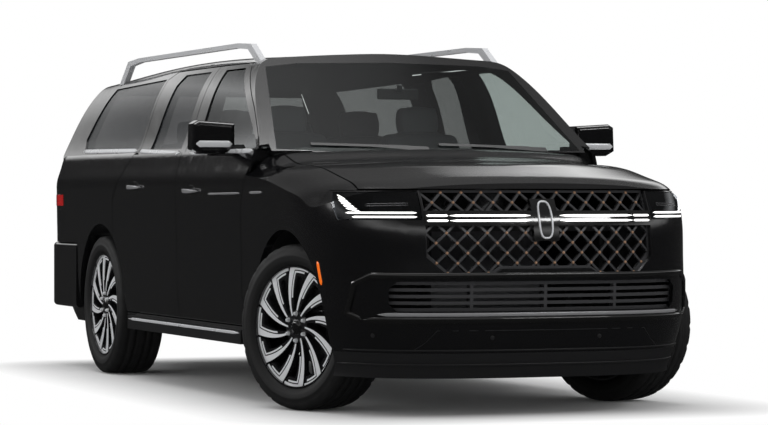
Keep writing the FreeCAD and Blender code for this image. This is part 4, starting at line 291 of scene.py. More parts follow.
@dataclass(frozen=True)
class Glazing(Finish):
    """Tinted glass that shows what is behind it."""

    tint: Colour = (0.4, 0.42, 0.43)
    index: float = 1.5
    ripple_scale: float = 3.0
    ripple_detail: float = 2.0
    ripple_strength: float = 0.02
    ripple_depth: float = 0.001
    smear: float = 0.03
    smear_scale: float = 8.0
    smear_detail: float = 3.0

    def build(self, graph: Graph) -> None:
        """Mixes a tinted view with a sharp reflection, by the front face's Fresnel share."""
        waves = graph.noise(self.ripple_scale, self.ripple_detail)
        normal = graph.bump(waves, self.ripple_strength, self.ripple_depth)
        inside = graph.add("ShaderNodeNewGeometry", {}, "Backfacing")
        fresnel = graph.add("ShaderNodeFresnel", {"IOR": self.index, "Normal": normal})
        view = graph.add("ShaderNodeBsdfTransparent", {"Color": (*self.tint, 1.0)})
        smears = graph.noise(self.smear_scale, self.smear_detail)
        gleam: Inputs = {
            "Base Color": (*self.colour, 1.0),
            "Metallic": 1.0,
            "Roughness": smears * self.smear + self.roughness,
            "Normal": normal,
        }
        reflection = graph.add("ShaderNodeBsdfPrincipled", gleam)
        graph.surface(graph.mix(fresnel * (1.0 - inside), view, reflection))


class Finishes:
    """Every finish of the vehicle, and the one that each slot of the record wears."""

    paint = Paint("paint_black", "paint", (0.004, 0.004, 0.0045))
    gloss = Paint("gloss_black", "gloss_trim", (0.006, 0.006, 0.006), roughness=0.12)
    dark = Grained(
        "satin_dark", "dark_trim", (0.012, 0.012, 0.013), roughness=0.42, grain_strength=0.12
    )
    bright = Brushed(
        "satin_bright", "bright_trim", (0.80, 0.81, 0.83), roughness=0.28, metallic=0.35
    )
    bright_dark = Brushed(
        "dark_bright", "dark_grille", (0.34, 0.34, 0.35),
        roughness=0.22, metallic=0.45, grain_strength=0.05,
    )
    grille = Finish(
        "dark_chrome", "dark_grille", (0.09, 0.09, 0.095),
        roughness=0.2, metallic=0.5, coat=0.6, grain_strength=0.03,
    )
    bronze = Finish(
        "bronze_node", "bright_trim", (0.40, 0.24, 0.15),
        roughness=0.25, metallic=0.3, grain_strength=0.03,
    )
    lens = Glazing(
        "smoked_lens", "lamp", (0.9, 0.92, 0.95), roughness=0.02, tint=(0.55, 0.57, 0.6)
    )
    red_lens = Ribbed(
        "red_lens", "tail_lamp", (0.42, 0.008, 0.008),
        roughness=0.12, coat=1.0, emission=0.3, grain_depth=0.0006,
    )
    amber = Finish(
        "amber_lens", "lamp", (0.9, 0.16, 0.01), roughness=0.12, coat=1.0, emission=0.35
    )
    glass = Glazing(
        "clear_glass", "glass", (0.9, 0.92, 0.93), roughness=0.0, tint=(0.74, 0.77, 0.76)
    )
    privacy = Glazing(
        "privacy_glass", "privacy_glass", (0.9, 0.92, 0.93), roughness=0.0, tint=(0.52, 0.54, 0.55)
    )
    rubber = Grained(
        "tyre_rubber", "tyre", (0.012, 0.012, 0.0125),
        roughness=0.62, grain_scale=900.0, grain_strength=0.2,
    )
    machined = Brushed(
        "machined_alloy", "rim", (0.86, 0.87, 0.89),
        roughness=0.3, metallic=0.25, grain_scale=900.0, grain_strength=0.06,
    )
    pocket = Paint("gloss_pocket", "rim", (0.01, 0.01, 0.011), roughness=0.2)
    chassis = Grained("coated_steel", "chassis", (0.012, 0.012, 0.013), roughness=0.55)
    cast = Grained(
        "cast_metal", "engine", (0.16, 0.16, 0.17), roughness=0.6, metallic=0.6, grain_scale=300.0
    )
    exhaust = Brushed("exhaust_steel", "exhaust", (0.42, 0.41, 0.39), roughness=0.35)
    interior = Grained(
        "soft_trim", "interior", (0.018, 0.018, 0.02), roughness=0.6, grain_scale=800.0
    )
    leather = Grained(
        "seat_leather", "seat_leather", (0.02, 0.02, 0.022),
        roughness=0.45, grain_scale=520.0, grain_strength=0.3,
    )
    lamp_white = Finish(
        "lamp_white", "lamp", (1.0, 0.99, 0.97), roughness=0.3, emission=1.6, grain_strength=0.02
    )
    mirror = Finish(
        "mirror_glass", "bright_trim", (0.85, 0.87, 0.88),
        roughness=0.02, metallic=1.0, grain_strength=0.01,
    )

    slots: dict[str, Finish] = {
        finish.slot: finish
        for finish in (
            paint, gloss, dark, bright, grille, lens, red_lens, glass, privacy, rubber,
            machined, chassis, cast, exhaust, interior, leather,
        )
    }


def turns(count: int, closed: bool = False) -> list[float]:
    """Evenly spaced angles of a full turn in radians, with the first again if closed."""
    return [2 * math.pi * index / count for index in range(count + int(closed))]


def spread(start: Sequence[float], end: Sequence[float], count: int) -> list[tuple[float, ...]]:
    """Evenly spaced points between two points, both ends included."""
    steps = range(count)
    return [tuple(a + (b - a) * i / (count - 1) for a, b in zip(start, end)) for i in steps]


def chain(corners: Sequence[Sequence[float]], count: int) -> list[tuple[float, ...]]:
    """Evenly spaced points along each side of a row of corners."""
    found: list[tuple[float, ...]] = []
    for start, end in zip(corners, corners[1:]):
        found += spread(start, end, count)[:-1]
    return found + [tuple(corners[-1])]


def mirrored(points: Iterable[Sequence[float]]) -> list[Flat]:
    """Points of (across, up) on the other side of the middle, in the same order."""
    return [(-across, up) for across, up in points]


def new_object(name: str, data: bpy.types.ID) -> bpy.types.Object:
    """Adds an object with its data to the scene."""
    made = bpy.data.objects.new(name, data)
    bpy.context.scene.collection.objects.link(made)
    return made


class Piece:
    """A mesh under construction, in metres in the row frame."""

    # (across, up) of a strip's crowned section as shares; None is its foot in the surface.
    CROWN = (
        (-1.0, None), (-1.0, 0.45), (-0.86, 0.85), (-0.45, 1.0),
        (0.45, 1.0), (0.86, 0.85), (1.0, 0.45), (1.0, None),
    )
    LEAST_END = 0.02
    # (radius, rise) of a stud's dome as shares, above its foot.
    DOME = ((1.0, 0.3), (0.8, 0.8), (0.4, 1.0))
    STUD_FOOT = 0.003
    EDGE_SEGMENTS = 2
    EDGE_ANGLE = math.radians(35)

    def __init__(self, name: str) -> None:
        self.name = name
        self.mesh = bmesh.new()

    def loop(self, points: Iterable[Sequence[float]]) -> Row:
        """Adds a row of points."""
        return [self.mesh.verts.new(Vector(point)) for point in points]

    def bridge(self, rows: Sequence[Row], closed: bool = False, ring: bool = False) -> None:
        """Joins neighbouring rows of points with faces.

        Args:
            rows: rows of the same length.
            closed: joins each row's end to its start.
            ring: joins the last row to the first.
        """
        pairs = list(zip(rows, rows[1:]))
        if ring:
            pairs.append((rows[-1], rows[0]))
        for first, second in pairs:
            count = len(first)
            for index in range(count if closed else count - 1):
                after = (index + 1) % count
                self.mesh.faces.new((first[index], first[after], second[after], second[index]))

    def caps(self, rows: Sequence[Row]) -> None:
        """Closes the first and the last row with one face each."""
        self.mesh.faces.new(list(reversed(rows[0])))
        self.mesh.faces.new(rows[-1])

    def ribbon(
        self, trail: Trail, half: float, rise: float, sink: float = 0.004, ends: float = 0.03
    ) -> None:
        """A strip with a crowned section that follows a surface.

        Args:
            trail: places on the surface with their normals; closed where both ends meet.
            half: half of its width.
            rise: how far it stands above the surface.
            sink: how far it reaches below the surface.
            ends: share of the length over which each end is rounded.
        """
        if len(trail) < 3:
            return
        ring = (trail[0][0] - trail[-1][0]).length < 1e-5
        count = len(trail) - int(ring)
        places = [place for place, _ in trail[:count]]
        normals = [normal for _, normal in trail[:count]]
        rows = []
        for index, place in enumerate(places):
            before = (index - 1) % count if ring else max(index - 1, 0)
            after = (index + 1) % count if ring else min(index + 1, count - 1)
            normal = (normals[before] + normals[index] * 2 + normals[after]).normalized()
            along = (places[after] - places[before]).normalized()
            across = along.cross(normal).normalized()
            share = 1.0 if ring else min(index, count - 1 - index) / (count - 1) / ends
            short = 1.0 - min(share, 1.0)
            width = half * math.sqrt(max(1.0 - short ** 2, self.LEAST_END))
            rows.append(self.loop(
                place + across * a * width + normal * (-sink if b is None else b * rise)
                for a, b in self.CROWN
            ))
        self.bridge(rows, closed=True, ring=ring)
        if not ring:
            self.caps(rows)

    def plate(self, outline: Sequence[Flat], low: float, high: float) -> None:
        """A flat plate with an outline of (across, up), between two depths."""
        rows = [self.loop((a, b, depth) for a, b in outline) for depth in (low, high)]
        self.bridge(rows, closed=True)
        self.caps(rows)

    def lathe(self, centre: Flat, profile: Sequence[Flat], count: int) -> None:
        """A turned form about an axis along the third coordinate.

        Args:
            centre: the axis as (across, up).
            profile: (radius, depth) points; a radius of zero closes the form.
            count: sides of the form.
        """
        x, y = centre
        rows = []
        for radius, depth in profile:
            if radius == 0.0:
                rows.append(self.loop([(x, y, depth)]))
                continue
            rows.append(self.loop(
                (x + radius * math.cos(turn), y + radius * math.sin(turn), depth)
                for turn in turns(count)
            ))
        for first, second in zip(rows, rows[1:]):
            if len(first) == 1:
                for index, vert in enumerate(second):
                    self.mesh.faces.new((first[0], vert, second[(index + 1) % count]))
            else:
                self.bridge([first, second], closed=True)

    def stud(
        self, place: Vector, normal: Vector, radius: float, rise: float, count: int = 14
    ) -> None:
        """A small domed stud on a surface.

        Args:
            place: its middle on the surface.
            normal: the surface's normal.
            radius: its radius.
            rise: how far it stands out.
            count: its sides.
        """
        side = normal.orthogonal().normalized()
        other = normal.cross(side)
        rings = [(1.0, -self.STUD_FOOT)] + [(share, rise * up) for share, up in self.DOME]
        rows = [
            self.loop(
                place
                + (side * math.cos(turn) + other * math.sin(turn)) * radius * share
                + normal * height
                for turn in turns(count)
            )
            for share, height in rings
        ]
        self.bridge(rows, closed=True)
        self.mesh.faces.new(rows[-1])

    def block(self, low: Sequence[float], high: Sequence[float]) -> None:
        """Adds a box between two corners."""
        made = bmesh.ops.create_cube(self.mesh, size=1.0)["verts"]
        size = Vector(high) - Vector(low)
        middle = (Vector(high) + Vector(low)) / 2
        for vert in made:
            vert.co = Vector(vert.co[i] * size[i] for i in range(3)) + middle

    def place(self, matrix: Matrix) -> "Piece":
        """Moves everything made so far."""
        self.mesh.transform(matrix)
        return self

    def made(self) -> bpy.types.Object:
        """Turns the mesh into an object of the scene."""
        data = bpy.data.meshes.new(self.name)
        self.mesh.to_mesh(data)
        self.mesh.free()
        return new_object(self.name, data)

    def finish(
        self, finish: Finish, body: str = "body",
        bevel: float = 0.0, subdivide: int = 0, smooth: bool = True,
    ) -> bpy.types.Object:
        """Turns the mesh into an object that rides on a body.

        Args:
            finish: its surface.
            body: the CAD body that carries it.
            bevel: width of rounded edges, in metres.
            subdivide: levels of subdivision.
            smooth: shades it smooth.

        Returns:
            The object.
        """
        bmesh.ops.recalc_face_normals(self.mesh, faces=self.mesh.faces)
        made = self.made()
        made.data.materials.append(finish.make())
        for polygon in made.data.polygons:
            polygon.use_smooth = smooth
        if bevel:
            edge = made.modifiers.new("Edges", "BEVEL")
            edge.width = bevel
            edge.segments = self.EDGE_SEGMENTS
            edge.limit_method = "ANGLE"
            edge.angle_limit = self.EDGE_ANGLE
            edge.harden_normals = True
        if subdivide:
            soften(made, subdivide)
        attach(made, body)
        return made


def soften(made: bpy.types.Object, levels: int) -> None:
    """Subdivides an object smoothly."""
    soft = made.modifiers.new("Smooth", "SUBSURF")
    soft.levels = soft.render_levels = levels


def lay(name: str, finish: Finish, strips: Iterable[Strip], body: str = "body") -> None:
    """One piece made of strips that follow a surface.

    Args:
        name: the piece's name.
        finish: its surface.
        strips: each strip's trail, with its half width and rise.
        body: the CAD body that carries it.
    """
    piece = Piece(name)
    for trail, size in strips:
        piece.ribbon(trail, *size)
    piece.finish(finish, body)


@dataclass
class Coachwork:
    """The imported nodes: each gets the finish of its slot, or its own."""

    own: dict[str, Finish] = field(default_factory=dict)

    def dress(self) -> None:
        """Puts a procedural material on every slot of every node."""
        slots = {part["node"]: part["material_slot"] for part in frame["record"]["subparts"]}
        for name, node in frame["nodes"].items():
            material = self.own.get(name, Finishes.slots[slots[name]]).make()
            if not node.material_slots:
                node.data.materials.append(material)
            for slot in node.material_slots:
                slot.material = material
            for polygon in node.data.polygons:
                polygon.use_smooth = True
        log.info("coachwork: %d nodes", len(frame["nodes"]))


class Skin:
    """The outer surface of some CAD nodes, on which trim is laid."""

    CLEAR_ASIDE = 2.0
    CLEAR_AHEAD = 4.0

    def __init__(self, *names: str) -> None:
        points: list[Vector] = []
        faces: list[list[int]] = []
        for name in names:
            node = frame["nodes"][name]
            first = len(points)
            points += [node.matrix_world @ vert.co for vert in node.data.vertices]
            faces += [[first + index for index in face.vertices] for face in node.data.polygons]
        self.tree = BVHTree.FromPolygons(points, faces)

    def hit(self, start: Sequence[float], way: Sequence[float]) -> Optional[tuple[Vector, Vector]]:
        """Where a ray meets the surface.

        Args:
            start: a point outside.
            way: the direction of the ray.

        Returns:
            The place and the normal towards the start, or None.
        """
        ray = Vector(way).normalized()
        place, normal, _, _ = self.tree.ray_cast(Vector(start), ray)
        if place is None:
            return None
        return place, (-normal if normal.dot(ray) > 0 else normal)

    def beside(self, side: Side, points: Sequence[Flat]) -> Trail:
        """Points of (x, z) laid on the flank from one side."""
        far = self.CLEAR_ASIDE * side.value
        found = [self.hit((x, far, z), (0, -side.value, 0)) for x, z in points]
        return [item for item in found if item]

    def ahead(self, points: Sequence[Flat]) -> Trail:
        """Points of (y, z) laid on the nose from the front."""
        found = [self.hit((self.CLEAR_AHEAD, y, z), (-1, 0, 0)) for y, z in points]
        return [item for item in found if item]

    def around(self, side: Side, centre: Flat, points: Sequence[Flat]) -> Trail:
        """Points laid on a corner, seen towards an upright line inside it.

        Args:
            side: the corner's side.
            centre: the line's place ahead and outwards.
            points: angles from straight ahead in degrees, with their heights.

        Returns:
            The places with their normals.
        """
        found = []
        for angle, z in points:
            turn = math.radians(angle)
            way = Vector((math.cos(turn), side.value * math.sin(turn), 0))
            core = Vector((centre[0], side.value * centre[1], z))
            found.append(self.hit(core + way, -way))
        return [item for item in found if item]


class Zone(Enum):
    """The parts of a tyre's section."""

    WALL = "wall"
    SHOULDER = "shoulder"
    OUTER = "outer"
    GROOVE = "groove"
    RIB = "rib"


@dataclass
class Wheel:
    """One road wheel: tread and sidewall, machined blades, nuts and cap."""

    side: Side
    front: bool
    steer: float = 21.0
    radius: float = 0.419
    bead: float = 0.309
    groove_depth: float = 0.008
    segments: int = 144
    shift_rate: float = 60.0
    face: float = 0.112
    root: float = 0.060
    tip: float = 0.3035
    start_angle: float = -35.0
    end_angle: float = -9.0
    sweep_bend: float = 0.75
    blades: int = 12
    broad_edge: float = 0.0012
    broad_root: float = 0.009
    broad_growth: float = 0.032
    broad_bend: float = 1.3
    broad_start: float = 0.064
    broad_end: float = 0.3025
    broad_hook: Flat = (0.0155, 18.4)
    thin_gap: float = 0.0065
    thin_width: float = 0.0085
    thin_start: float = 0.150
    thin_end: float = 0.281
    thin_hook: Flat = (0.009, 13.2)
    stripe_low: float = -0.002
    stripe_high: float = 0.0016
    nut_count: int = 6
    nut_circle: float = 0.0675
    valve_circle: float = 0.262
    valve_angle: float = 2.75

    # (outwards, above the bead) up the sidewall and round the shoulder.
    WALL_POINTS = (
        (0.118, 0.0), (0.127, 0.003), (0.131, 0.012), (0.1355, 0.014), (0.1395, 0.03),
        (0.1425, 0.046), (0.143, 0.056), (0.1405, 0.058), (0.139, 0.076),
    )
    SHOULDER_POINTS = ((0.1375, 0.082), (0.131, 0.096), (0.122, 0.1035))
    # (outwards, below the crown) of the tread's outer block.
    OUTER_POINTS = ((0.105, 0.0035), (0.084, 0.0017))
    # Outer and inner edge of each rib; zero is the tyre's middle.
    RIBS = ((0.066, 0.036), (0.024, 0.0))
    GROOVE_SHOULDER, GROOVE_WALL, GROOVE_CROWN = 0.011, 0.0015, 0.0015
    RIB_EDGE, RIB_CROWN = 0.0008, 0.0004
    # Segments from one cut to the next, the first cut and its share of the groove's depth.
    CUTS = {Zone.OUTER: (6, 0, 0.75), Zone.SHOULDER: (6, 0, 0.75), Zone.RIB: (4, 2, 0.4)}

    # (radius, above the face) of the turned pieces.
    NUT = (
        (0.0, 0.020), (0.005, 0.0195), (0.0085, 0.016),
        (0.0105, 0.010), (0.0115, 0.001), (0.0115, -0.004),
    )
    CUP = ((0.0125, -0.004), (0.0135, 0.003), (0.0165, 0.003), (0.018, -0.002))
    CAP = (
        (0.0, 0.012), (0.020, 0.0112), (0.030, 0.0085), (0.0335, 0.004),
        (0.036, 0.0045), (0.039, 0.003), (0.040, -0.003),
    )
    VALVE = ((0.0, -0.008), (0.0035, -0.009), (0.0035, -0.018), (0.0028, -0.019), (0.0028, -0.042))
    EDGE_STEPS, ARC_STEPS = 12, 7
    HOOK_SLANT, HOOK_BLEND = 0.6, 1.5

    @property
    def name(self) -> str:
        """The wheel's place, such as front_left."""
        return ("front_" if self.front else "rear_") + self.side.word

    @property
    def body(self) -> str:
        """The CAD body that turns with the wheel."""
        return ("front_wheel_" if self.front else "rear_wheel_") + self.side.word

    def matrix(self) -> Matrix:
        """From the wheel's own frame (right, up, outwards) to the row frame."""
        low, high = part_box("tyre_" + self.name)
        sign = self.side.value
        turn = Matrix.Rotation(math.radians(self.steer if self.front else 0.0), 4, "Z")
        axes = Matrix(((-sign, 0, 0, 0), (0, 0, sign, 0), (0, 1, 0, 0), (0, 0, 0, 1)))
        return Matrix.Translation((low + high) / 2) @ turn @ axes

    def section(self) -> list[tuple[float, float, Zone]]:
        """The tyre's section as (outwards, radius, zone) from the inner bead to the outer one."""
        crown = self.radius
        half = [(w, self.bead + rise, Zone.WALL) for w, rise in self.WALL_POINTS]
        half += [(w, self.bead + rise, Zone.SHOULDER) for w, rise in self.SHOULDER_POINTS]
        half += [(w, crown - drop, Zone.OUTER) for w, drop in self.OUTER_POINTS]
        for edge, end in self.RIBS:
            floor = crown - self.groove_depth
            half += [
                (edge + self.GROOVE_SHOULDER, floor - self.GROOVE_CROWN, Zone.GROOVE),
                (edge + self.GROOVE_WALL, floor, Zone.GROOVE),
                (edge, crown - self.RIB_EDGE, Zone.RIB),
                ((edge + end) / 2, crown - self.RIB_CROWN, Zone.RIB),
            ]
            if end:
                half.append((end, crown - self.RIB_CROWN, Zone.RIB))
        return [(-w, r, zone) for w, r, zone in half] + half[::-1]

    def tyre(self) -> None:
        """The tyre with cut tread blocks and stepped sidewalls."""
        piece = Piece("tread_" + self.name)
        rows = []
        for w, r, zone in self.section():
            every, first, share = self.CUTS.get(zone, (1, 1, 0.0))
            shift = int(abs(w) * self.shift_rate)
            ring = []
            for index, angle in enumerate(turns(self.segments)):
                cut = (index + shift) % every == first
                reach = r - (self.groove_depth * share if cut else 0.0)
                ring.append((reach * math.sin(angle), reach * math.cos(angle), w))
            rows.append(piece.loop(ring))
        piece.bridge(rows, closed=True, ring=True)
        made = piece.place(self.matrix()).finish(Finishes.rubber, self.body)
        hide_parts("tyre_" + self.name)

    def share(self, radius: float) -> float:
        """How far out along a blade a radius lies."""
        return max(radius - self.root, 0.0) / (self.tip - self.root)

    def lead(self, radius: float) -> float:
        """The angle of a blade's leading edge at a radius, in degrees."""
        sweep = self.end_angle - self.start_angle
        return self.start_angle + sweep * self.share(radius) ** self.sweep_bend

    def broad_edges(self, radius: float) -> Flat:
        """Edges of the broad stripe, as distances from the leading edge."""
        growth = self.broad_growth * self.share(radius) ** self.broad_bend
        return self.broad_edge, self.broad_root + growth

    def thin_edges(self, radius: float) -> Flat:
        """Edges of the thin stripe beside it."""
        start = self.broad_edges(radius)[1] + self.thin_gap
        return start, start + self.thin_width

    def stripe(
        self, start: float, corner: float, edges: Callable[[float], Flat], hook: Flat
    ) -> list[Flat]:
        """One machined stripe of a blade with its hook, as (radius, angle) points.

        Args:
            start: radius of its inner end.
            corner: outer radius of its hook.
            edges: gives the two edges' distances from the leading edge at a radius.
            hook: width of the hook along the rim, and the angle of its end.

        Returns:
            A closed outline.
        """
        inner = corner - hook[0]
        sides = []
        for number, end in enumerate((corner, inner)):
            radii = [radius for radius, in spread((start,), (end,), self.EDGE_STEPS)]
            sides.append([
                (radius, self.lead(radius) + math.degrees(edges(radius)[number] / radius))
                for radius in radii
            ])
        first, second = sides
        outer_arc = spread((corner, first[-1][1]), (corner, hook[1]), self.ARC_STEPS)[1:]
        tail = second[-1][1] + self.HOOK_BLEND
        inner_arc = spread((inner, hook[1] - self.HOOK_SLANT), (inner, tail), self.ARC_STEPS)
        return first + outer_arc + inner_arc + second[::-1]

    def face_stripes(self) -> None:
        """The bright machined stripes on every blade."""
        piece = Piece("machined_" + self.name)
        outlines = [
            self.stripe(self.broad_start, self.broad_end, self.broad_edges, self.broad_hook),
            self.stripe(self.thin_start, self.thin_end, self.thin_edges, self.thin_hook),
        ]
        for blade in range(self.blades):
            for outline in outlines:
                points = []
                for radius, angle in outline:
                    turn = math.radians(angle + 360.0 * blade / self.blades)
                    points.append((radius * math.sin(turn), radius * math.cos(turn)))
                piece.plate(points, self.face + self.stripe_low, self.face + self.stripe_high)
        piece.place(self.matrix())
        piece.finish(Finishes.machined, self.body, bevel=0.0006, smooth=False)

    def turned(
        self, piece: Piece, circle: float, turn: float, profile: Sequence[Flat], count: int
    ) -> None:
        """Adds one turned form on the wheel's face, at a radius and an angle from the top."""
        centre = (circle * math.sin(turn), circle * math.cos(turn))
        piece.lathe(centre, [(radius, self.face + depth) for radius, depth in profile], count)

    def hub(self) -> None:
        """Bright nuts in dark recesses round a plain cap."""
        nuts = Piece("nuts_" + self.name)
        for turn in turns(self.nut_count):
            self.turned(nuts, self.nut_circle, turn, self.NUT, 6)
        nuts.place(self.matrix()).finish(Finishes.bright, self.body, bevel=0.001)
        cups = Piece("nut_cups_" + self.name)
        for turn in turns(self.nut_count):
            self.turned(cups, self.nut_circle, turn, self.CUP, 20)
        self.turned(cups, 0.0, 0.0, self.CAP, 40)
        cups.place(self.matrix()).finish(Finishes.gloss, self.body)

    def valve(self) -> None:
        """The tyre valve at the rim's edge."""
        piece = Piece("valve_" + self.name)
        self.turned(piece, self.valve_circle, self.valve_angle, self.VALVE, 12)
        piece.place(self.matrix()).finish(Finishes.dark, self.body)

    def build(self) -> None:
        """Builds the whole wheel."""
        self.tyre()
        self.face_stripes()
        self.hub()
        self.valve()
        log.info("wheel %s: tread, stripes, nuts, cap and valve", self.name)


@dataclass
class Grille:
    """Bronze nodes of the diamond mesh and the lit bar across it."""

    pitch: float = 0.099
    rise: float = 0.097
    foot: float = 0.690
    top: float = 1.104
    half_width: float = 0.600
    border: float = 0.02
    least_reach: float = 2.5
    tiers: int = 4
    columns: int = 12
    node_radius: float = 0.0075
    node_rise: float = 0.006
    line_heights: Flat = (0.980, 0.956)
    line_runs: tuple[Flat, Flat] = ((0.078, 0.485), (0.492, 0.592))
    line_size: Flat = (0.0052, 0.003)
    ring_half: Flat = (0.034, 0.088)
    ring_middle: float = 0.9595
    ring_power: float = 3.2
    ring_points: int = 28
    ring_size: Flat = (0.0045, 0.006)

    def nodes(self) -> None:
        """A small bronze stud where the mesh bars cross and nothing covers them."""
        piece = Piece("grille_studs")
        skin = Skin("grille", "light_bar")
        mesh = Skin("grille")
        middle = (self.foot + self.top) / 2
        count = 0
        for up in range(-self.tiers, self.tiers + 1):
            for across in range(-self.columns, self.columns + 1):
                spot = (across * self.pitch / 2, middle + up * self.rise / 2)
                if (up + across) % 2 or abs(spot[0]) > self.half_width - self.border:
                    continue
                found = mesh.ahead([spot])
                if not found or found[0][0].x < self.least_reach:
                    continue
                place, normal = found[0]
                if (place - skin.ahead([spot])[0][0]).length > 0.001:
                    continue
                piece.stud(place, normal, self.node_radius, self.node_rise)
                count += 1
        piece.finish(Finishes.bronze)
        log.info("grille: %d studs", count)

    def lines(self) -> None:
        """Two bright lines with a dark line between them, on each half of the bar."""
        skin = Skin("light_bar")
        for side in Side:
            runs = [
                spread((side.value * start, height), (side.value * end, height), 14)
                for height in self.line_heights
                for start, end in self.line_runs
            ]
            strips = [(skin.ahead(run), self.line_size) for run in runs]
            lay("light_lines_" + side.word, Finishes.lamp_white, strips)

    def ring(self) -> None:
        """The plain ring on the plate in the middle of the bar."""
        power = self.ring_power
        outline = []
        for turn in turns(self.ring_points):
            across, up = math.cos(turn), math.sin(turn)
            reach = 1 / (abs(across) ** power + abs(up) ** power) ** (1 / power)
            width, height = self.ring_half
            outline.append((width * reach * across, self.ring_middle + height * reach * up))
        trail = Skin("light_bar").ahead(outline + outline[:1])
        lay("badge_surround", Finishes.bright, [(trail, self.ring_size)])

    def build(self) -> None:
        """Builds the studs, lights and ring."""
        self.nodes()
        self.lines()
        self.ring()
        log.info("grille: light lines and ring")


@dataclass
class Headlamp:
    """Daylight slats, light lines and dark inner bezel of one headlamp."""

    side: Side
    centre: Flat = (2.36, 0.62)
    # (height, angle of the outer end) of the light lines, which start near the middle.
    line_ends: tuple[Flat, Flat] = ((0.994, 72.0), (0.974, 64.0))
    line_start: float = 2.0
    line_size: Flat = (0.0044, 0.0016)
    slats: int = 6
    # (angle, height) of the first slat's ends, and how far the last slat lies from it.
    slat_outer: Flat = (90.0, 1.080)
    slat_inner: Flat = (76.0, 1.060)
    slat_outer_step: Flat = (-17.0, -0.064)
    slat_inner_step: Flat = (-20.0, -0.060)
    slat_size: Flat = (0.0030, 0.0014)
    bezel_heights: Flat = (1.040, 1.030)
    bezel_angles: Flat = (8.0, 52.0)
    bezel_drop: float = 0.004
    bezel_size: Flat = (0.002, 0.0012)

    def build(self) -> None:
        """Builds what shines behind the lens."""
        skin = Skin("headlamps")

        def strips(runs: Iterable[Sequence[Flat]], size: Flat) -> list[Strip]:
            """Strips on this corner, of the same size."""
            return [(skin.around(self.side, self.centre, run), size) for run in runs]

        word = self.side.word
        lines = [
            spread((self.line_start, height), (end, height), 26) for height, end in self.line_ends
        ]
        lay("headlamp_lines_" + word, Finishes.lamp_white, strips(lines, self.line_size))
        fan = []
        for index in range(self.slats):
            share = index / (self.slats - 1)
            start = [a + step * share for a, step in zip(self.slat_outer, self.slat_outer_step)]
            end = [a + step * share for a, step in zip(self.slat_inner, self.slat_inner_step)]
            fan.append(spread(start, end, 9))
        lay("daylight_slats_" + word, Finishes.lamp_white, strips(fan, self.slat_size))
        near, far = self.bezel_angles
        bezel = [
            spread((near, height), (far, height - self.bezel_drop), 16)
            for height in self.bezel_heights
        ]
        lay("headlamp_bezel_" + word, Finishes.grille, strips(bezel, self.bezel_size))
        log.info("headlamp %s", word)


@dataclass
class NoseTrim:
    """Ridges, seams and sensors of the bumper."""

    frame_top: float = 0.692
    frame_bottom: float = 0.478
    frame_half: float = 0.905
    arch_size: Flat = (0.014, 0.012)
    foot_size: Flat = (0.015, 0.013)
    trim_height: float = 0.505
    trim_half: float = 0.80
    trim_size: Flat = (0.009, 0.007)
    lip_half: float = 0.93
    # The height of each lip with its half width and rise.
    lips: tuple[tuple[float, Flat], ...] = ((0.262, (0.006, 0.006)), (0.332, (0.004, 0.005)))
    cover: tuple[Flat, ...] = ((0.55, 0.428), (0.60, 0.37), (0.66, 0.325))
    seam_size: Flat = (0.0016, 0.0006)
    sensors: tuple[Flat, ...] = ((0.814, 0.403), (0.284, 0.393))
    sensor_radius: float = 0.011
    sensor_rise: float = 0.002

    def surround(self) -> tuple[list[Flat], list[Flat]]:
        """The intake's frame: up one flank, across the top and down, and along its foot."""
        half, low, top = self.frame_half, self.frame_bottom, self.frame_top
        corners = [
            (half - 0.05, low), (half, low + 0.03), (half - 0.02, top - 0.04), (half - 0.075, top)
        ]
        right = chain(mirrored(corners), 8)
        left = mirrored(reversed(right))
        over = spread(right[-1], left[0], 50)[1:-1]
        foot = spread((-corners[0][0], low), corners[0], 60)
        return right + over + left, foot

    def across(self, half: float, height: float) -> list[Flat]:
        """A level line across the nose."""
        return spread((-half, height), (half, height), 60)

    def build(self) -> None:
        """Builds the bumper's trim."""
        skin = Skin("front_bumper", "front_valance", "intake_slats")
        arch, foot = self.surround()
        surround = [(skin.ahead(arch), self.arch_size), (skin.ahead(foot), self.foot_size)]
        lay("intake_surround", Finishes.gloss, surround)
        trim = skin.ahead(self.across(self.trim_half, self.trim_height))
        lay("intake_trim", Finishes.bright_dark, [(trim, self.trim_size)])
        cover = mirrored(reversed(self.cover)) + list(self.cover)
        lay("tow_cover_seam", Finishes.dark, [(skin.ahead(chain(cover, 14)), self.seam_size)])
        lips = [(skin.ahead(self.across(self.lip_half, z)), size) for z, size in self.lips]
        lay("lower_lip", Finishes.dark, lips)
        sensors = Piece("parking_sensors")
        for y, z in self.sensors:
            for place, normal in skin.ahead([(-y, z), (y, z)]):
                sensors.stud(place, normal, self.sensor_radius, self.sensor_rise, 20)
        sensors.finish(Finishes.dark)
        log.info("nose trim")


@dataclass(frozen=True)
class Moulding:
    """A strip on a flank; braces stand for the side in the names of its nodes and body."""

    name: str
    nodes: tuple[str, ...]
    body: str
    line: tuple[Flat, ...]
    size: Flat
    finish: Finish
    points: int = 24


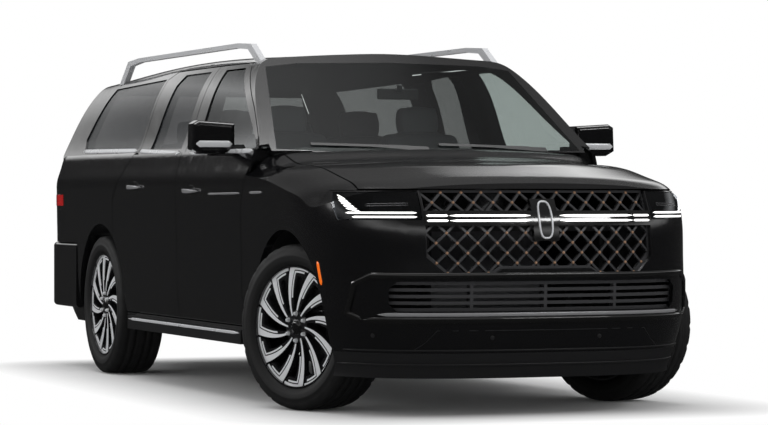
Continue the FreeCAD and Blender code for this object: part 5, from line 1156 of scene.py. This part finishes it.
@dataclass
class SideTrim:
    """Belt, step strips, handles, spear, marker and mirror parts of one flank."""

    side: Side
    mouldings: tuple[Moulding, ...] = (
        Moulding(
            "belt_front", ("front_door_{}",), "front_door_{}_leaf",
            ((1.268, 1.3105), (0.193, 1.3145)), (0.0125, 0.005), Finishes.bright,
        ),
        Moulding(
            "belt_rear", ("rear_door_{}",), "rear_door_{}_leaf",
            ((-0.015, 1.3160), (-0.607, 1.3300), (-0.85, 1.3385)), (0.0135, 0.005),
            Finishes.bright, 14,
        ),
        Moulding(
            "belt_tail", ("body_shell",), "body",
            ((-0.925, 1.3410), (-2.117, 1.3535)), (0.0145, 0.005), Finishes.bright,
        ),
        Moulding(
            "spear", ("front_door_{}",), "front_door_{}_leaf",
            ((0.62, 1.086), (1.16, 1.090)), (0.0055, 0.004), Finishes.bright_dark, 16,
        ),
        Moulding(
            "spear_tip", ("front_fenders",), "body",
            ((1.32, 1.092), (1.52, 1.094)), (0.0065, 0.004), Finishes.bright_dark, 10,
        ),
        Moulding(
            "step_strip", ("running_boards",), "body",
            ((-0.860, 0.358), (1.170, 0.358)), (0.008, 0.004), Finishes.bright,
        ),
    )
    marker: Moulding = Moulding(
        "side_marker", ("front_bumper", "front_fenders"), "body",
        ((2.300, 0.640), (2.262, 0.755)), (0.011, 0.003), Finishes.amber, 10,
    )
    # Rear and front end of each handle as (x, z).
    front_handle: tuple[Flat, Flat] = ((0.205, 1.106), (0.455, 1.102))
    rear_handle: tuple[Flat, Flat] = ((-0.870, 1.130), (-0.620, 1.126))
    handle_size: Flat = (0.0125, 0.008)
    handle_lift: float = 0.034
    handle_bend: float = 0.6
    bowl: Flat = (0.066, 0.03)
    bowl_size: Flat = (0.0022, 0.0012)
    # The mirror's insert as (inner end, outer end, height), seen from the front.
    insert: Point = (1.010, 1.208, 1.349)
    insert_size: Flat = (0.017, 0.004)
    # Outline of the mirror's glass as (outwards, z), and a point on the face that holds it.
    glass: tuple[Flat, ...] = (
        (1.012, 1.335), (1.018, 1.452), (1.205, 1.452), (1.212, 1.345), (1.195, 1.330)
    )
    glass_middle: Flat = (1.11, 1.39)
    glass_depth: float = 0.003

    def strip(self, moulding: Moulding) -> None:
        """Lays one moulding on this flank."""
        word = self.side.word
        skin = Skin(*(node.format(word) for node in moulding.nodes))
        trail = skin.beside(self.side, chain(moulding.line, moulding.points))
        name, body = "%s_%s" % (moulding.name, word), moulding.body.format(word)
        lay(name, moulding.finish, [(trail, moulding.size)], body)

    def handle(self, name: str, door: str, ends: tuple[Flat, Flat]) -> None:
        """An oval pull handle with its shallow bowl.

        Args:
            name: the piece's name before the side.
            door: the door's CAD node.
            ends: rear and front end as (x, z).
        """
        skin, body = Skin(door), door + "_leaf"
        grip = Piece("%s_%s" % (name, self.side.word))
        trail = skin.beside(self.side, spread(*ends, 15))
        lifted = []
        for index, (place, normal) in enumerate(trail):
            arch = math.sin(math.pi * index / (len(trail) - 1)) ** self.handle_bend
            lifted.append((place + normal * self.handle_lift * arch, normal))
        grip.ribbon(lifted, *self.handle_size, sink=0.006, ends=0.45)
        grip.finish(Finishes.bright_dark, body, subdivide=1)
        (x, z), (width, height) = spread(*ends, 3)[1], self.bowl
        rim = [(x + width * math.cos(t), z + height * math.sin(t)) for t in turns(32, True)]
        strips = [(skin.beside(self.side, rim), self.bowl_size)]
        lay("%s_bowl_%s" % (name, self.side.word), Finishes.gloss, strips, body)

    def mirror(self, door: str) -> None:
        """Bright lower insert and glass of the mirror on a door's node."""
        word, sign = self.side.word, self.side.value
        skin, body = Skin(door), door + "_leaf"
        inner, outer, height = self.insert
        rays = [(2.0, sign * y, height) for y, in spread((inner,), (outer,), 12)]
        found = [skin.hit(start, (-1, 0, 0)) for start in rays]
        trail = [item for item in found if item]
        lay("mirror_insert_" + word, Finishes.bright, [(trail, self.insert_size)], body)
        y, z = self.glass_middle
        place, _ = skin.hit((0.2, sign * y, z), (1, 0, 0))
        glass = Piece("mirror_glass_" + word)
        glass.plate([(sign * y, z) for y, z in self.glass], 0.0, self.glass_depth)
        turn = Matrix(((0, 0, -1, place.x), (1, 0, 0, 0), (0, 1, 0, 0), (0, 0, 0, 1)))
        glass.place(turn).finish(Finishes.mirror, body, bevel=0.001)

    def build(self) -> None:
        """Builds one flank's trim."""
        word = self.side.word
        for moulding in self.mouldings:
            self.strip(moulding)
        self.handle("front_handle", "front_door_" + word, self.front_handle)
        self.handle("rear_handle", "rear_door_" + word, self.rear_handle)
        self.strip(self.marker)
        self.mirror("front_door_" + word)
        log.info("flank %s: belt, spear, step, handles, marker and mirror", word)


def rounded(a: float, b: float, c: float) -> float:
    """The first coordinate of a cube's point when the cube is rounded to a sphere."""
    return a * math.sqrt(max(1 - b * b / 2 - c * c / 2 + b * b * c * c / 3, 0))


class SeatPart(Enum):
    """The three cushions of a seat, with how far each leans, in degrees."""

    CUSHION = -4.0
    BACK = -12.0
    HEAD = -10.0


@dataclass
class Seat:
    """One padded seat: cushion, back and head rest, replacing the plain solid."""

    name: str
    node: str
    front: float
    middle: float
    floor: float
    width: float
    top: float
    cushion_rise: float = 0.35
    depth: float = 0.48
    # How far each cushion's middle lies behind its edge.
    cushion_set: float = 0.235
    back_set: float = 0.055
    head_set: float = 0.135
    cushion_drop: float = 0.085
    cushion_length: float = 0.50
    cushion_height: float = 0.18
    back_thickness: float = 0.15
    back_share: float = 0.98
    back_extra: float = 0.10
    back_rise: float = 0.01
    head_rise: float = 0.10
    head_size: Point = (0.10, 0.25, 0.17)
    base_share: float = 0.42
    base_lift: float = 0.005
    base_rear: float = 0.02
    base_front: float = 0.05
    base_drop: float = 0.15
    # The head rest's posts: from the middle, behind the cushion, half width, foot and top.
    post_offset: float = 0.055
    post_set: float = 0.115
    post_half: float = 0.005
    post_foot: float = 0.02
    post_rise: float = 0.06
    roundness: float = 0.42
    grid_cuts: int = 11
    face_start: float = 0.5
    seam_across: float = 0.62
    seam_along: float = 0.70
    seam_depth: float = 0.05
    seam_width: float = 0.09
    sewn_line: float = 0.60
    sewn_half: float = 0.06
    under: float = -0.85
    behind: float = -0.9
    pressure: float = 4.0
    frames: int = 20
    cap: float = 0.022

    def pillow(self, part: SeatPart, centre: Point, size: Point) -> bpy.types.Object:
        """A crowned cushion with a seam round its panel.

        Args:
            part: which cushion.
            centre: its middle.
            size: its length, width and height.

        Returns:
            The object.
        """
        piece = Piece("%s_%s" % (self.name, part.name.lower()))
        mesh = piece.mesh
        bmesh.ops.create_cube(mesh, size=2.0)
        cuts = self.grid_cuts
        bmesh.ops.subdivide_edges(mesh, edges=mesh.edges[:], cuts=cuts, use_grid_fill=True)
        for vert in mesh.verts:
            a, b, c = vert.co
            ball = Vector((rounded(a, b, c), rounded(b, c, a), rounded(c, a, b)))
            shape = vert.co + (ball - vert.co) * self.roundness
            if c > self.face_start or a > self.face_start:
                along = a if c > self.face_start else c
                seam = min(abs(abs(b) - self.seam_across), abs(abs(along) - self.seam_along))
                shape *= 1.0 - self.seam_depth * math.exp(-((seam / self.seam_width) ** 2))
            vert.co = Vector(shape[i] * size[i] / 2 for i in range(3))
        lean = Matrix.Rotation(math.radians(part.value), 4, "Y")
        fixed = self.sewn(piece, size)
        seat = piece.place(Matrix.Translation(Vector(centre)) @ lean).finish(Finishes.leather)
        self.plump(seat, fixed)
        soften(seat, 1)
        return seat

    def sewn(self, piece: Piece, size: Point) -> list[int]:
        """Points of the sewn lines, the underside and the rear, which stay where they are.

        Args:
            piece: the cushion's mesh before it is placed.
            size: its length, width and height.

        Returns:
            The points' numbers.
        """
        piece.mesh.verts.index_update()
        found = []
        for vert in piece.mesh.verts:
            a, b, c = (2 * vert.co[i] / size[i] for i in range(3))
            sewn = abs(abs(b) - self.sewn_line) < self.sewn_half
            if sewn or c < self.under or a < self.behind:
                found.append(vert.index)
        return found

    def plump(self, seat: bpy.types.Object, fixed: Sequence[int]) -> None:
        """Swells a cushion with a short cloth simulation.

        Args:
            seat: the cushion.
            fixed: numbers of the points that stay where they are.
        """
        group = seat.vertex_groups.new(name="seams")
        group.add(list(fixed), 1.0, "REPLACE")
        cloth = seat.modifiers.new("Cloth", "CLOTH")
        cloth.settings.use_pressure = True
        cloth.settings.uniform_pressure_force = self.pressure
        cloth.settings.effector_weights.gravity = 0.0
        cloth.settings.vertex_group_mass = group.name
        cloth.point_cache.frame_start = 1
        cloth.point_cache.frame_end = self.frames
        scene = bpy.context.scene
        for number in range(1, self.frames + 1):
            scene.frame_set(number)
        shaped = seat.evaluated_get(bpy.context.evaluated_depsgraph_get())
        places = [vert.co.copy() for vert in shaped.data.vertices]
        for vert, place in zip(seat.data.vertices, places):
            step = place - vert.co
            vert.co += step * min(1.0, self.cap / max(step.length, 1e-9))
        seat.modifiers.remove(cloth)
        scene.frame_set(1)

    def base(self, seat_top: float, rear: float) -> bpy.types.Object:
        """The dark base and the two posts of the head rest.

        Args:
            seat_top: height of the cushion's top.
            rear: where the cushion ends.

        Returns:
            The object.
        """
        half = self.width * self.base_share
        piece = Piece(self.name + "_base")
        piece.block(
            (rear + self.base_rear, self.middle - half, self.floor + self.base_lift),
            (self.front - self.base_front, self.middle + half, seat_top - self.base_drop),
        )
        x, thick = rear - self.post_set, self.post_half
        for side in (-1, 1):
            y = self.middle + side * self.post_offset
            low = (x - thick, y - thick, self.top - self.post_foot)
            piece.block(low, (x + thick, y + thick, self.top + self.post_rise))
        return piece.finish(Finishes.interior, bevel=0.01)

    def build(self) -> None:
        """Builds the three cushions and the dark base."""
        y, top = self.middle, self.top
        seat_top = self.floor + self.cushion_rise
        rear = self.front - self.depth
        cushion = (self.front - self.cushion_set, y, seat_top - self.cushion_drop)
        cushion_size = (self.cushion_length, self.width, self.cushion_height)
        back = (rear - self.back_set, y, (seat_top + top) / 2 + self.back_rise)
        back_width, back_height = self.width * self.back_share, top - seat_top + self.back_extra
        head = (rear - self.head_set, y, top + self.head_rise)
        parts = [
            self.pillow(SeatPart.CUSHION, cushion, cushion_size),
            self.pillow(SeatPart.BACK, back, (self.back_thickness, back_width, back_height)),
            self.pillow(SeatPart.HEAD, head, self.head_size),
            self.base(seat_top, rear),
        ]
        for made in parts:
            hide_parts(self.node)


@dataclass(frozen=True)
class SeatRow:
    """A row of two seats: its node, front edge, seats' offset, floor, width and top."""

    node: str
    front: float
    offset: float = 0.40
    floor: float = 0.50
    width: float = 0.53
    top: float = 1.40


@dataclass
class Cabin:
    """Seats and the mirror behind the windscreen."""

    rows: tuple[SeatRow, ...] = (
        SeatRow("front_seats", 0.753),
        SeatRow("second_row_seats", -0.177),
        SeatRow("third_row_seat", -1.127, offset=0.32, floor=0.62, width=0.60, top=1.36),
    )
    # Two corners of the inner mirror and of its stalk.
    mirror: tuple[Point, Point] = ((0.840, -0.12, 1.60), (0.860, 0.12, 1.66))
    stalk: tuple[Point, Point] = ((0.858, -0.012, 1.64), (0.893, 0.012, 1.68))

    def build(self) -> None:
        """Builds the cabin's pieces."""
        for row in self.rows:
            for side in Side:
                name = "%s_%s" % (row.node, side.word)
                middle = row.offset * side.value
                Seat(name, row.node, row.front, middle, row.floor, row.width, row.top).build()
        inner = Piece("inner_mirror")
        inner.block(*self.mirror)
        inner.block(*self.stalk)
        inner.finish(Finishes.interior, bevel=0.008)
        log.info("cabin: seats and inner mirror")


def aim(made: bpy.types.Object, place: Point, way: Sequence[float]) -> None:
    """Stands a lamp or camera at a place, looking along a direction."""
    made.location = place
    made.rotation_mode = "QUATERNION"
    made.rotation_quaternion = Vector(way).to_track_quat("-Z", "Y")


@dataclass(frozen=True)
class SoftBox:
    """One rectangular area lamp: its place, target, width and height, and power in watts."""

    name: str
    place: Point
    target: Point
    size: Flat
    power: float

    def build(self) -> None:
        """Adds the lamp."""
        data = bpy.data.lights.new(self.name, "AREA")
        data.shape = "RECTANGLE"
        data.size, data.size_y = self.size
        data.energy = self.power
        aim(new_object(self.name, data), self.place, Vector(self.target) - Vector(self.place))


@dataclass
class Studio:
    """White floor and sky, soft boxes and the camera."""

    camera_place: Point = (15.911, -5.966, 1.068)
    view: Point = (-0.9314, 0.3640, -0.0051)
    lens: float = 139.3
    sensor: float = 36.0
    farthest: float = 200.0
    floor_size: float = 160.0
    floor_white: float = 0.9
    floor_roughness: float = 0.4
    # Brightness of the floor as polished surfaces see it: a painted dark reflection, so that paint
    # and glass show the floor as near black.
    floor_gleam: float = 0.025
    # Size and fade of the box round the footprint where the floor loses its emitted white: painted
    # shade round the real shadow.
    shadow_length: float = 2.35
    shadow_width: float = 0.85
    shadow_fade: float = 1.9
    fill: float = 0.62
    band_height: float = 0.27
    band_half: float = 0.10
    band: float = 0.95
    dome: float = 0.14
    dome_slope: float = 1.4
    dome_start: float = 0.12
    zenith: float = 0.9
    zenith_slope: float = 6.0
    zenith_start: float = 5.0
    least: float = 0.02
    boxes: tuple[SoftBox, ...] = (
        SoftBox("box_top", (0.5, 0.0, 6.0), (0.2, 0.0, 0.0), (7.0, 1.2), 150.0),
        SoftBox("box_front", (8.0, 3.5, 4.6), (1.8, 0.0, 0.8), (3.2, 0.5), 60.0),
        SoftBox("box_side", (-4.0, -7.0, 3.4), (0.0, 0.0, 1.0), (7.0, 0.5), 90.0),
    )

    def world(self) -> None:
        """A plain soft sky, white to the camera and banded to polished surfaces."""
        world = bpy.data.worlds.new("Studio")
        bpy.context.scene.world = world
        world.use_nodes = True
        graph = Graph(world.node_tree)
        seen = (graph.ray("Is Camera Ray") + graph.ray("Is Transmission Ray")).limit()
        up = graph.part(graph.add("ShaderNodeTexCoord", {}, "Generated"), "Z")
        rising = (up * self.dome_slope - self.dome_start).limit()
        band = (1.0 - (up - self.band_height).size() / self.band_half).limit()
        zenith = (up * self.zenith_slope - self.zenith_start).limit()
        polished = rising * self.dome + band * self.band + zenith * self.zenith + self.least
        soft = graph.ray("Is Glossy Ray") * (polished - self.fill) + self.fill
        level = seen * (1.0 - soft) + soft
        back = graph.add("ShaderNodeBackground", {"Color": WHITE, "Strength": level})
        graph.node("ShaderNodeOutputWorld", {"Surface": back})

    def floor(self) -> None:
        """A white floor that keeps the vehicle's shadow, with a painted darkening round it and a
        painted dark reflection in polished surfaces.
        """
        piece = Piece("studio_floor")
        half = self.floor_size / 2
        piece.bridge([piece.loop([(x, -half, 0.0), (x, half, 0.0)]) for x in (-half, half)])
        made = piece.made()
        material = bpy.data.materials.new("floor_white")
        material.use_nodes = True
        graph = Graph(material.node_tree)
        colour = (*[self.floor_white] * 3, 1.0)
        matt: Inputs = {"Color": colour, "Roughness": self.floor_roughness}
        base = graph.add("ShaderNodeBsdfDiffuse", matt)
        white, dark = (
            graph.add("ShaderNodeEmission", {"Color": WHITE, "Strength": strength})
            for strength in (1.0, self.floor_gleam)
        )
        # Near the vehicle the floor is matt and takes the real shadow; further out it is plain
        # emitted white, so it is painted darker towards the vehicle.
        seen = graph.mix(self.beyond(graph) * graph.ray("Is Camera Ray"), base, white)
        # To glossy rays the floor is a faint emission instead of its white: a painted dark
        # reflection of the floor.
        graph.surface(graph.mix(graph.ray("Is Glossy Ray"), seen, dark))
        made.data.materials.append(material)

    def beyond(self, graph: Graph) -> Shade:
        """Zero on the floor near the vehicle, one further out: a painted darkening round its
        footprint, inside which the real shadow shows.

        Args:
            graph: the floor's nodes.

        Returns:
            The share of plain white.
        """
        place = graph.place()
        ahead = (graph.part(place, "X").size() - self.shadow_length).limit()
        aside = (graph.part(place, "Y").size() - self.shadow_width).limit()
        return ((ahead * ahead + aside * aside) * self.shadow_fade).limit()

    def camera(self) -> None:
        """The camera at the photograph's place and lens."""
        data = bpy.data.cameras.new("Camera")
        data.sensor_width = self.sensor
        data.lens = self.lens
        data.clip_end = self.farthest
        made = new_object("Camera", data)
        aim(made, self.camera_place, self.view)
        bpy.context.scene.camera = made

    def build(self) -> None:
        """Sets up the whole studio."""
        bpy.context.scene.view_settings.view_transform = "Standard"
        self.world()
        self.floor()
        for box in self.boxes:
            box.build()
        self.camera()
        log.info("studio: world, floor, lamps and camera")


def main() -> None:
    """Builds every part of the scene in order."""
    logging.basicConfig(level=logging.INFO, format="%(name)s: %(message)s")
    own = {"intake_slats": Finishes.grille, "light_bar": Finishes.gloss}
    for end in ("front", "rear"):
        for side in Side:
            own["wheel_%s_%s" % (end, side.word)] = Finishes.pocket
    Coachwork(own).dress()
    for side in Side:
        for front in (True, False):
            Wheel(side, front).build()
        Headlamp(side).build()
        SideTrim(side).build()
    Grille().build()
    NoseTrim().build()
    Cabin().build()
    Studio().build()


if __name__ == "__main__":
    main()
